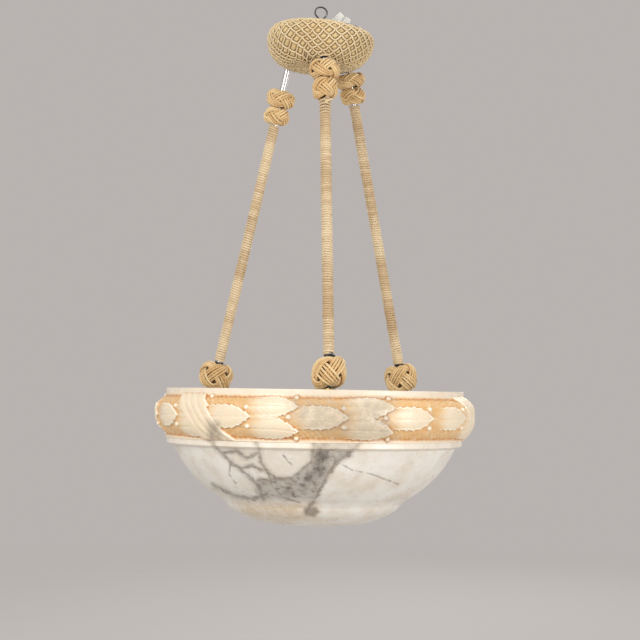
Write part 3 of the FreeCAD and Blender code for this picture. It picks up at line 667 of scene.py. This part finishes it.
def leaf(along, across, tip, row, low, high, bend):
    """Height of one pointed leaf: domed, with a wavy curled edge, a midrib and slanting side veins."""
    from_tip = tip - along
    share = 1 - from_tip / LEAF_L
    off = across - row - bend * np.clip(1 - from_tip / LEAF_TAPER, 0, 1) ** 1.5
    ripple = 0.75 * np.sin(along * 0.62 + 1.7 * row) + 0.45 * np.sin(along * 1.23 + 0.9 * row + 1.0)
    half = LEAF_W / 2 * (1 - (1 - np.clip(from_tip / LEAF_TAPER, 0, 1)) ** 1.75)
    half = half + ripple * np.clip(from_tip / 6, 0, 1)
    margin = half - np.abs(off)
    inside = (share > 0) & (from_tip > 0) & (margin > 0)
    height = low + (high - low) * np.clip((share - 0.2) / 0.4, 0, 1)
    height -= 1.5 * np.clip(np.abs(off) / np.maximum(half, 0.5), 0, 1) ** 3
    height += 1.5 * np.exp(-((margin - 0.9) / 0.85) ** 2) * np.clip((share - 0.1) * 3, 0, 1)
    height -= 0.85 * np.exp(-(off / 0.65) ** 2) * np.clip(from_tip / 5, 0, 1)
    slant = (along - 0.95 * np.abs(off) - 0.02 * off ** 2) / SIDE_VEINS_APART
    from_vein = (slant - np.floor(slant) - 0.5) * SIDE_VEINS_APART
    height -= 0.42 * np.exp(-(from_vein / 0.55) ** 2) * np.clip(margin / 3, 0, 1)
    return np.where(inside, height, NOTHING)


def carved(angle, across):
    """Relief of the roll in mm, 0 at the frame's own surface; angle in degrees from the front ribbon."""
    turn = np.mod(angle + 30, 120) - 30
    along = np.radians(turn) * RIM_R
    degree = math.radians(1) * RIM_R
    ground = GROUND + 0.25 * np.sin(along * 0.9 + across * 0.6) + 0.2 * np.sin(along * 0.31 - across * 0.8)
    stem = -3.1 - 0.5 * (across / 1.6) ** 2
    relief = np.maximum(ground, stem)
    for k in range(-1, 4):
        middle = (MIDDLE_TIP + LEAF_PERIOD * k) * degree
        outer = (OUTER_TIP + LEAF_PERIOD * k) * degree
        relief = np.maximum(relief, leaf(along, across, middle, 0, LEAF_LOW, LEAF_HIGH + 0.1, 0.6))
        relief = np.maximum(relief, leaf(along, across, outer, ROW_APART, LEAF_LOW, LEAF_HIGH, -2.0))
        relief = np.maximum(relief, leaf(along, across, outer, -ROW_APART, LEAF_LOW, LEAF_HIGH, -3.0))
        for at, row in ((middle - 6, 12.5), (middle - 5, -12.5), (outer - 12.5, 0.3),
                        (outer - 4, 30.5), (outer - 4, -30.5)):
            ball = BERRY_R ** 2 - (along - at) ** 2 - (across - row) ** 2
            berry = BERRY_AT + np.sqrt(np.maximum(ball, 0))
            relief = np.maximum(relief, np.where(ball > 0, berry, NOTHING))
    centre = RIBBON_OFF + RIBBON_SLANT * across / 33.0
    half = RIBBON_HALF + 0.9 * (across / 33.0) ** 2
    for at in (0.0, 120.0, -120.0):
        band = (turn - at - centre) / half
        flutes = -0.25 - 1.3 * (1 - np.abs(np.sin(2.0 * math.pi * (band + 0.06 * across / 33) * 0.98)) ** 0.7)
        flutes = flutes + 0.2 * np.sin(across * 0.21 + 5 * band)
        flutes = np.maximum(flutes, -0.15 - 2.2 * np.clip((0.93 - np.abs(band)) / 0.06, 0, 1))
        relief = np.where(np.abs(band) < 1, np.minimum(flutes, -0.1), relief)
    return relief


BOWL_STEPS = 1680


def bowl_shell(stone):
    """The whole bowl as one closed thick shell, its roll carved."""
    made = Builder()
    lip = outline(BOWL_OUTSIDE[:3])
    roll = outline([ROLL_TOP, *BOWL_OUTSIDE[3:5]])
    fillet = outline(BOWL_OUTSIDE[4:8])
    body = outline(BOWL_OUTSIDE[7:])
    inside = outline(BOWL_INSIDE, 4.0)
    front = math.radians(-90 + RIBBON_AT - SHOT_AZIMUTH)

    def ring(even, steps, relief=None, normals=None):
        angle = np.linspace(0, 2 * math.pi, steps, endpoint=False)
        radius, height = even[:, :1], even[:, 1:]
        if relief is not None:
            radius = radius + relief * normals[:, :1]
            height = height + relief * normals[:, 1:]
        radius, height, turn = np.broadcast_arrays(radius, height, angle[None, :])
        return np.stack([radius * np.cos(turn) * MM, radius * np.sin(turn) * MM, LIP_Z + height * MM], axis=2)

    def put(points, relief, edge, rim):
        rows, steps = points.shape[:2]
        flat = points.reshape(-1, 3)
        marks = stone_marks(flat)
        made.add(flat, grid_faces(rows, steps, True), relief=np.ravel(relief), edge=np.ravel(edge),
                 rim=np.full(len(flat), rim), **marks)

    even, normal, at = resampled(roll, 84)
    angle = np.degrees(np.linspace(0, 2 * math.pi, BOWL_STEPS, endpoint=False) - front)
    across = at[:, None] - at[-1] / 2
    relief = carved(*np.broadcast_arrays(angle[None, :], -across))
    relief = np.clip(blurred(relief, 1), GROUND - 0.6, 0)
    ease = np.clip(np.minimum(at, at[-1] - at) / 3.0, 0, 1)[:, None]
    relief = relief * ease
    # edge: painted light and shade; above 0 on ridges a painted highlight, below 0 in crevices and along the
    # roll's ends a painted shade
    edge = relief - blurred(relief, 4) - 0.8 * (1 - ease)
    put(ring(even, BOWL_STEPS, relief, normal), 1 + relief / -GROUND, edge, 1.0)
    for part, steps, rim in ((lip, BOWL_STEPS // 2, 0.6), (fillet, BOWL_STEPS // 2, 0.3),
                             (body, BOWL_STEPS // 2, 0.0), (inside, BOWL_STEPS // 4, 0.0)):
        points = ring(part, steps)
        size = len(part) * steps
        put(points, np.full(size, 0.8), np.zeros(size), rim)
    return made.make("alabaster_bowl", stone)


def stone_surface():
    """Translucent alabaster: grey cloud, dark veins, amber in the recesses, painted highlights on carved
    ridges and painted shade in crevices.
    """
    s = Surface("alabaster", ior=1.52)
    drift = s.noise(38.0, 5.0, 0.6)
    mottle = s.noise(120.0, 5.0, 0.62)
    fine = s.noise(420.0, 4.0, 0.6)
    wobble = s.math("MULTIPLY", s.math("SUBTRACT", mottle, 0.5), 7.0)

    def patch(under, name, noise, limits, colour):
        """The stone with a marked patch of another colour, broken up by noise."""
        share = s.math("MULTIPLY", s.attribute(name), s.spread(noise, *limits))
        return s.mix(share, under, linear(*colour))

    base = s.mix(s.spread(drift, 0.3, 0.62), linear(226, 216, 202), linear(240, 235, 228))
    base = s.mix(s.spread(mottle, 0.52, 0.8, 0.0, 0.5), base, linear(245, 241, 235))
    cloud = s.math("ADD", mottle, s.math("MULTIPLY", drift, 0.5))
    base = patch(base, "mass", cloud, (0.45, 0.85, 1.0, 0.45), (124, 114, 105))
    base = patch(base, "core", mottle, (0.35, 0.65, 0.9, 0.4), (96, 88, 82))
    base = patch(base, "tan", mottle, (0.3, 0.7, 0.85, 0.3), (214, 192, 160))
    base = patch(base, "pale", mottle, (0.3, 0.6, 0.2, 0.9), (226, 217, 205))
    base = s.mix(s.math("MULTIPLY", s.attribute("spot"), 0.7), base, linear(120, 108, 98))
    near = s.math("ADD", s.attribute("vein"), wobble)
    line = s.spread(near, 0.2, 2.6, 1.0, 0.0)
    base = s.mix(s.math("MULTIPLY", line, s.spread(fine, 0.3, 0.65, 0.95, 0.45)), base, linear(104, 92, 82))
    halo = s.spread(near, 1.0, 6.0, 0.4, 0.0)
    base = s.mix(halo, base, linear(172, 160, 148))
    thin = s.spread(s.math("ADD", s.attribute("fine"), s.math("MULTIPLY", wobble, 0.6)), 0.1, 1.2, 0.6, 0.0)
    base = s.mix(thin, base, linear(140, 126, 112))
    ridged = s.math("ABSOLUTE", s.math("SUBTRACT", s.noise(26.0, 6.0, 0.62, 0.7), 0.5))
    base = s.mix(s.spread(ridged, 0.0, 0.01, 0.1, 0.0), base, linear(170, 156, 140))
    rim = s.attribute("rim")
    high = s.spread(s.attribute("relief"), 0.08, 0.62)
    carving = s.mix(high, linear(228, 184, 126), linear(240, 222, 194))
    # painted highlight on the carving's raised ridges
    carving = s.mix(s.spread(s.attribute("edge"), 0.05, 0.7, 0.0, 0.9), carving, linear(253, 243, 224))
    # painted shade in the carving's crevices and in the lines where the roll meets lip and fillet
    carving = s.mix(s.spread(s.attribute("edge"), -1.0, -0.08, 0.9, 0.0), carving, linear(196, 128, 62))
    carving = s.mix(s.spread(mottle, 0.45, 0.8, 0.0, 0.4), carving, linear(242, 232, 212))
    carving = patch(carving, "rim_grey", mottle, (0.3, 0.6, 0.35, 0.75), (150, 138, 122))
    s.set("Base Color", s.mix(rim, base, carving))
    s.set("Roughness", s.spread(mottle, 0.3, 0.75, 0.26, 0.42))
    s.set("Subsurface Weight", 0.25)
    s.set("Subsurface Radius", (0.010, 0.0065, 0.004))
    s.set("Coat Weight", 0.12)
    s.set("Coat Roughness", 0.25)
    s.bump(s.math("ADD", mottle, s.math("MULTIPLY", fine, 0.5)), 0.25 * MM, 0.35)
    return s.material


# ---- Canopy ----
CANOPY_SIDE = [(53.0, -38.0), (54.5, -31.0), (56.2, -29.2, 0.5), (58.0, -30.0, 0.6), (70.3, -44.0, 3.0),
               (32.0, -81.5, 11.5), (7.0, -81.5)]
CANOPY_OUTLINE = outline(CANOPY_SIDE, 0.5)
NET_FROM, NET_CELLS, NET_ROWS = 10.5, 29, 15
NET_CORD = 1.2 * MM
HOLE_R = 7.4 * MM
HOLES_UNDER = -60.0 * MM
WAVES = [(RNG.integers(2, 9), RNG.uniform(0.03, 0.12), RNG.uniform(0, 6.3), RNG.uniform(0, 6.3))
         for _ in range(7)]


def canopy_place(turn, along, lift=0.0):
    """Frame points on the canopy's side, along from its mouth in mm, made uneven."""
    turn, along = np.broadcast_arrays(np.asarray(turn, dtype=float), np.asarray(along, dtype=float))
    length, ahead = run_of(CANOPY_OUTLINE), headings(CANOPY_OUTLINE)
    hold = np.clip((along - NET_FROM) / 12, 0, 1) * np.clip((length[-1] - along) / 8, 0, 1)
    bunch = 1 + 1.2 * np.clip(-np.cos(turn - 0.2), 0, 1)
    shift = sum(np.sin(n * turn + k * along + a) for n, k, a, _ in WAVES) * 0.5 * bunch * hold
    slide = sum(np.sin(n * turn - k * along + b) for n, k, _, b in WAVES) * 0.55 * bunch * hold
    along = along + slide
    radius = np.interp(along, length, CANOPY_OUTLINE[:, 0])
    height = np.interp(along, length, CANOPY_OUTLINE[:, 1])
    out = -np.interp(along, length, ahead[:, 1])
    up = np.interp(along, length, ahead[:, 0])
    turn = turn + shift / np.maximum(radius, 12)
    near_mouth = np.clip((height + 62) / 30, 0, 1)
    tip = 4.2 * near_mouth ** 2 * -np.cos(turn + math.radians(SHOT_AZIMUTH))
    radius = radius + lift * out
    height = height + lift * up + tip
    return np.stack([radius * np.cos(turn) * MM, radius * np.sin(turn) * MM, height * MM], axis=-1)


def clear_of_holes(points, holes):
    """Which points lie outside the arms' holes, which are low on the canopy."""
    keep = np.ones(len(points), dtype=bool)
    for foot, axis in holes:
        away = points - foot
        off = np.linalg.norm(away - (away @ axis)[:, None] * axis, axis=1)
        keep &= (off > HOLE_R) | (points[:, 2] > HOLES_UNDER)
    return keep


def canopy_pieces(cloth, cord):
    """Cloth bulging between the cords of a knotted net, gathered under the canopy."""
    total = np.linalg.norm(np.diff(CANOPY_OUTLINE, axis=0), axis=1).sum()
    row = (total - NET_FROM - 1.0) / NET_ROWS
    share = np.linspace(0, 1, 9)
    sweep = 0.45 * share + 0.55 * (1 - np.cos(math.pi * share / 2))
    drop = 0.45 * share + 0.55 * np.sin(math.pi * share / 2)
    net, lines = Builder(), []
    for hand in (1, -1):
        for strand in range(NET_CELLS):
            turn, along = [], []
            for k in range(NET_ROWS):
                turn += list(2 * math.pi * (strand + hand * (k + sweep[:-1]) / 2) / NET_CELLS)
                along += list(NET_FROM + row * (k + drop[:-1]))
            turn.append(2 * math.pi * (strand + hand * NET_ROWS / 2) / NET_CELLS)
            along.append(NET_FROM + row * NET_ROWS)
            lines.append(canopy_place(turn, along, -0.3 + 0.25 * hand))
    holes = [arm_axis(arm) for arm in ARMS]
    for path in lines:
        keep = clear_of_holes(path, holes)
        start = 0
        for k in range(len(path) + 1):
            if k == len(path) or not keep[k]:
                if k - start > 2:
                    shade = np.clip(0.62 + 0.2 * smooth_noise(k - start, 6), 0, 1)
                    net.tube(path[start:k], NET_CORD, 6, shade)
                start = k + 1
    ball_turn = np.linspace(0, 2 * math.pi, 6, endpoint=False)
    ball_rise = np.array([-1.2, -0.5, 0.5, 1.2])[:, None]
    ball = np.stack([np.cos(ball_rise) * np.cos(ball_turn), np.cos(ball_rise) * np.sin(ball_turn),
                     np.broadcast_to(np.sin(ball_rise), (4, 6))], axis=2) * 1.55 * MM
    for k in range(1, NET_ROWS):
        for strand in range(NET_CELLS):
            turn = 2 * math.pi * (strand + (k % 2) / 2) / NET_CELLS
            here = canopy_place(turn, NET_FROM + row * k, 0.1)
            if clear_of_holes(here[None, :], holes)[0]:
                net.add(here + ball, grid_faces(4, 6, True), lay=np.zeros((24, 3)), shade=0.7)
    for arm in ARMS:
        net.tube(hole_edge(arm), 1.15 * MM, 8, 0.95)
    mouth = np.linspace(0, 2 * math.pi, 220)
    net.tube(canopy_place(mouth, 9.4, 0.3), 1.3 * MM, 8, 0.6 + 0.2 * smooth_noise(220, 20, 1.0, True))
    net.tube(canopy_place(mouth, total - 1.0, 0.2), 1.6 * MM, 8, 0.5)
    net_piece = net.make("canopy_net", cord)

    every = np.concatenate(lines)
    tree = KDTree(len(every))
    for k, point in enumerate(every):
        tree.insert(point, k)
    tree.balance()
    rows, columns = 150, 660
    turn = np.linspace(0, 2 * math.pi, columns, endpoint=False)[None, :]
    along = np.linspace(0, total, rows)[:, None]
    flat = canopy_place(turn, along, -1.4).reshape(-1, 3)
    near = np.array([tree.find(p)[2] for p in flat]).reshape(rows, columns) / MM
    bulge = np.clip((near - 0.9) / 3.2, 0, 1)
    bulge = bulge * bulge * (3 - 2 * bulge)
    gather = np.clip(np.abs(along / total - 0.45) * 2.4 - 0.25, 0, 1)
    fold = 0.25 * np.sin(74 * turn + 3 * np.sin(3 * turn)) * gather
    points = canopy_place(turn, along, -1.9 + 2.6 * bulge + fold)
    faces = grid_faces(rows, columns, True)
    keep = clear_of_holes(points.reshape(-1, 3)[faces].mean(axis=1), holes)
    weave = np.stack(np.broadcast_arrays(turn * 70.0, along, 0.0 * turn), axis=2)
    sheet = Builder()
    # hollow shade: painted shade, strongest where the cloth lies low by the cords
    sheet.add(points, faces[keep], weave=weave.reshape(-1, 3), hollow=(1 - bulge).ravel() * 0.95)
    return sheet.make("canopy_cloth", cloth), net_piece, total


def arm_axis(arm):
    """A point on an arm's axis and the axis's direction."""
    foot = arm_point(arm, 0.0, 0.0, 0.0)
    axis = arm_point(arm, 0.0, 0.0, 0.4) - foot
    return foot, axis / np.linalg.norm(axis)


def hole_edge(arm):
    """Where a round hole about an arm meets the canopy's side."""
    low = CANOPY_OUTLINE[CANOPY_OUTLINE[:, 1] <= -44.0]
    low = low[np.argsort(low[:, 1], kind="stable")]
    spots, reach = [], HOLE_R + 0.6 * MM
    height = np.linspace(400 * MM, 470 * MM, 700)
    for angle in np.linspace(0, 2 * math.pi, 49):
        line = arm_point(arm, reach * math.cos(angle), reach * math.sin(angle), height)
        radius = np.hypot(line[:, 0], line[:, 1]) / MM
        level = line[:, 2] / MM
        within = (level > -81.4) & (radius < np.interp(level, low[:, 1], low[:, 0]))
        spots.append(line[np.argmax(within)])
    return np.array(spots)


# ---- Suspension wire ----
def hanger_path():
    """Bent wire: round eye, pointed neck, tail down through the canopy to its lower loop."""
    eye_r, eye_z, loop_r, loop_z = 8.2, -7.0, 4.5, -29.57
    eye = []
    for a in np.linspace(math.radians(-75), math.radians(250), 60):
        pull = max(0.0, -math.sin(a)) ** 1.6
        eye.append((eye_r * math.cos(a) * (1 - 0.45 * pull), 1.3 * math.cos(a / 2 + 0.8),
                    eye_z + eye_r * math.sin(a) * (1 + 0.16 * pull)))
    neck = [(1.2, -0.4, -18.6), (0.6, 0.0, -21.4), (0.2, 0.2, -23.6)]
    loop = [(loop_r * math.cos(a), 0.2 * k / 20, loop_z + loop_r * math.sin(a))
            for k, a in enumerate(np.linspace(math.radians(100), math.radians(-235), 30))]
    return np.array(eye + neck + loop) * MM


# ---- Studio and camera ----
FLOOR_Z, FLOOR_R = -0.99, 4.5
FADE_FROM, FADE_TO = 0.9, 3.2
LAMPS_AIM = (0.0, 0.0, -0.35)


def studio():
    """Floor that fades into an even backdrop, soft light all round and five large lamps."""
    floor = Surface("floor")
    floor.set("Base Color", FLOOR)
    floor.set("Roughness", 0.9)
    clear = floor.node("ShaderNodeBsdfTransparent").outputs[0]
    length = floor.node("ShaderNodeVectorMath", {0: floor.place}, operation="LENGTH").outputs["Value"]
    share = floor.spread(length, FADE_FROM, FADE_TO)
    fade = floor.node("ShaderNodeMixShader", {0: share, 1: floor.shader.outputs[0], 2: clear})
    floor.tree.links.new(fade.outputs[0], floor.out.inputs["Surface"])
    angle = np.linspace(0, 2 * math.pi, 96, endpoint=False)
    radius = np.linspace(0.0002, FLOOR_R, 12)[:, None]
    points = np.stack(np.broadcast_arrays(radius * np.cos(angle), radius * np.sin(angle), FLOOR_Z), axis=2)
    ground = mesh_object("floor", points.reshape(-1, 3), grid_faces(12, 96, True), floor.material)

    world = bpy.data.worlds.new("studio")
    bpy.context.scene.world = world
    world.use_nodes = True
    nodes, links = world.node_tree.nodes, world.node_tree.links
    nodes.clear()
    out = nodes.new("ShaderNodeOutputWorld")
    seen, soft = nodes.new("ShaderNodeBackground"), nodes.new("ShaderNodeBackground")
    choose = nodes.new("ShaderNodeMixShader")
    seen.inputs[0].default_value, seen.inputs[1].default_value = BACKDROP, 1.0
    soft.inputs[0].default_value, soft.inputs[1].default_value = (1.0, 0.99, 0.97, 1.0), 0.56
    path = nodes.new("ShaderNodeLightPath")
    direct = path.outputs["Is Camera Ray"]
    for ray in ("Is Glossy Ray", "Is Transmission Ray"):
        either = nodes.new("ShaderNodeMath")
        either.operation = "MAXIMUM"
        links.new(direct, either.inputs[0])
        links.new(path.outputs[ray], either.inputs[1])
        direct = either.outputs[0]
    links.new(direct, choose.inputs[0])
    links.new(soft.outputs[0], choose.inputs[1])
    links.new(seen.outputs[0], choose.inputs[2])
    links.new(choose.outputs[0], out.inputs[0])

    lamps = (("key", (-1.7, -2.2, 0.9), 1.5, 42.0), ("fill", (2.0, -1.9, -0.6), 1.4, 33.0),
             ("low", (-1.3, -2.1, -0.8), 1.2, 11.0), ("top", (0.3, 0.4, 1.7), 1.2, 14.0),
             ("back", (0.8, 2.4, 0.4), 1.4, 16.0))
    for name, place, size, power in lamps:
        light = bpy.data.lights.new(name, "AREA")
        light.size, light.energy, light.color = size, power, (1.0, 0.985, 0.96)
        lamp = bpy.data.objects.new(name, light)
        lamp.location = place
        lamp.rotation_euler = (Vector(LAMPS_AIM) - Vector(place)).to_track_quat("-Z", "Y").to_euler()
        bpy.context.scene.collection.objects.link(lamp)


def camera():
    """The photograph's view."""
    place, right, up, ahead = (Vector(v) for v in shot_axes())
    data = bpy.data.cameras.new("shot")
    data.lens, data.sensor_width, data.clip_start, data.clip_end = SHOT_LENS, SENSOR, 0.01, 100.0
    made = bpy.data.objects.new("shot", data)
    turn = Matrix((right, up, -ahead)).transposed().to_4x4()
    turn.translation = place
    made.matrix_world = turn
    bpy.context.scene.collection.objects.link(made)
    bpy.context.scene.camera = made


# ---- The object ----
cord_light, cord_middle, cord_dark = linear(240, 218, 180), linear(206, 176, 134), linear(84, 56, 30)
winding_cord = cord_surface("winding_cord", cord_dark, cord_middle, cord_light, 5.0)
knot_cord = cord_surface("knot_cord", cord_dark, linear(222, 180, 120), linear(250, 220, 166), 5.6)
net_cord = cord_surface("net_cord", linear(140, 104, 62), linear(232, 200, 148), linear(250, 230, 188), 2.8)
# darker cord for the knots' hearts: painted shade seen between the knot cords
heart_cord_painted_shade = cord_surface("knot_heart_painted_shade", linear(60, 42, 26), linear(124, 92, 56), linear(164, 126, 82), 4.0)
black_tape = tape_surface()
chrome = metal_surface("chromed_tube", linear(222, 222, 224), 0.27, linear(170, 168, 166), 0.0, 220.0, 0.002)
steel = metal_surface("dark_steel", linear(120, 118, 116), 0.3, linear(72, 64, 56), 0.08)
zinc = metal_surface("zinc_plated_steel", linear(176, 176, 172), 0.32, linear(120, 118, 112), 0.05)
brass = metal_surface("aged_brass", linear(168, 140, 84), 0.34, linear(96, 84, 52), 0.12)
wire = metal_surface("wire_steel", linear(104, 104, 106), 0.26, linear(60, 54, 50), 0.06)
black_rubber = plastic_surface("black_rubber", linear(26, 26, 28), 0.5, linear(90, 86, 80))
white_plastic = plastic_surface("white_plastic", linear(228, 226, 220), 0.38, linear(190, 184, 172))
white_flex = plastic_surface("white_flex", linear(222, 220, 214), 0.45, linear(188, 182, 170))
blue_plastic = plastic_surface("blue_conductor", linear(60, 110, 190), 0.4)
brown_plastic = plastic_surface("brown_conductor", linear(112, 68, 40), 0.4)
holder_plastic = plastic_surface("holder_plastic", linear(214, 210, 200), 0.4, linear(168, 160, 146))
cement = plastic_surface("cement", linear(196, 190, 178), 0.9, linear(150, 144, 132), 300.0, 0.3)
opal = opal_surface()
stone = stone_surface()
cloth = cloth_surface()

FINISHES = {
    "bowl": stone, "canopy_cover": cloth, "canopy_cup": steel, "tube_nuts": zinc, "tube_": chrome,
    "winding_": winding_cord, "top_knot_": knot_cord, "low_knot_": knot_cord, "tape_": black_tape,
    "block_screws": zinc, "foot_block_": brass, "rim_strap_": zinc, "rim_screws": zinc,
    "rim_inserts": cement, "lampholder_": holder_plastic, "lamp_bracket_": zinc, "lamp_": opal,
    "cable_": black_rubber, "sheath_": black_rubber, "flex_white": white_flex,
    "leads_blue": blue_plastic, "leads_brown": brown_plastic, "connector_": white_plastic,
    "hub_dish": steel, "eye_bolt": zinc, "link_ring": steel, "hanger_wire": wire,
}
for node_name, node_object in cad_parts.items():
    key = next(k for k in sorted(FINISHES, key=len, reverse=True) if node_name.startswith(k))
    node_object.data.materials.clear()
    node_object.data.materials.append(FINISHES[key])


def dress(piece, body, *nodes):
    """Let a piece ride on a body and stand for CAD nodes."""
    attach(piece, body)
    if nodes:
        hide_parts(*nodes)


dress(bowl_shell(stone), "frame", "bowl")
cloth_piece, net_piece, side_length = canopy_pieces(cloth, net_cord)
dress(cloth_piece, "canopy", "canopy_cover")
dress(net_piece, "canopy")
for arm in ARMS:
    dress(winding(arm, winding_cord), "frame", f"winding_{arm}")
    dress(tape(arm, black_tape), "frame", f"tape_{arm}")
    for place, sizes, body in (("low", LOW_KNOTS[arm], "frame"), ("top_lower", TOP_KNOTS[arm][0], None),
                               ("top_upper", TOP_KNOTS[arm][1], None)):
        node = f"low_knot_{arm}" if place == "low" else f"top_knot_{place[4:]}_{arm}"
        body = body or ("left_knots" if arm == "left" else "frame")
        cords, heart = knot(f"{node}_cords", arm, *sizes, knot_cord, heart_cord_painted_shade, 5 if place == "low" else 4)
        dress(cords, body, node)
        dress(heart, body)
hook = Builder()
hook.tube(hanger_path(), 1.2 * MM, 12, 0.5)
dress(hook.make("bent_wire", wire), "hanger", "hanger_wire")

studio()
camera()
bpy.context.scene.view_settings.view_transform = "Standard"
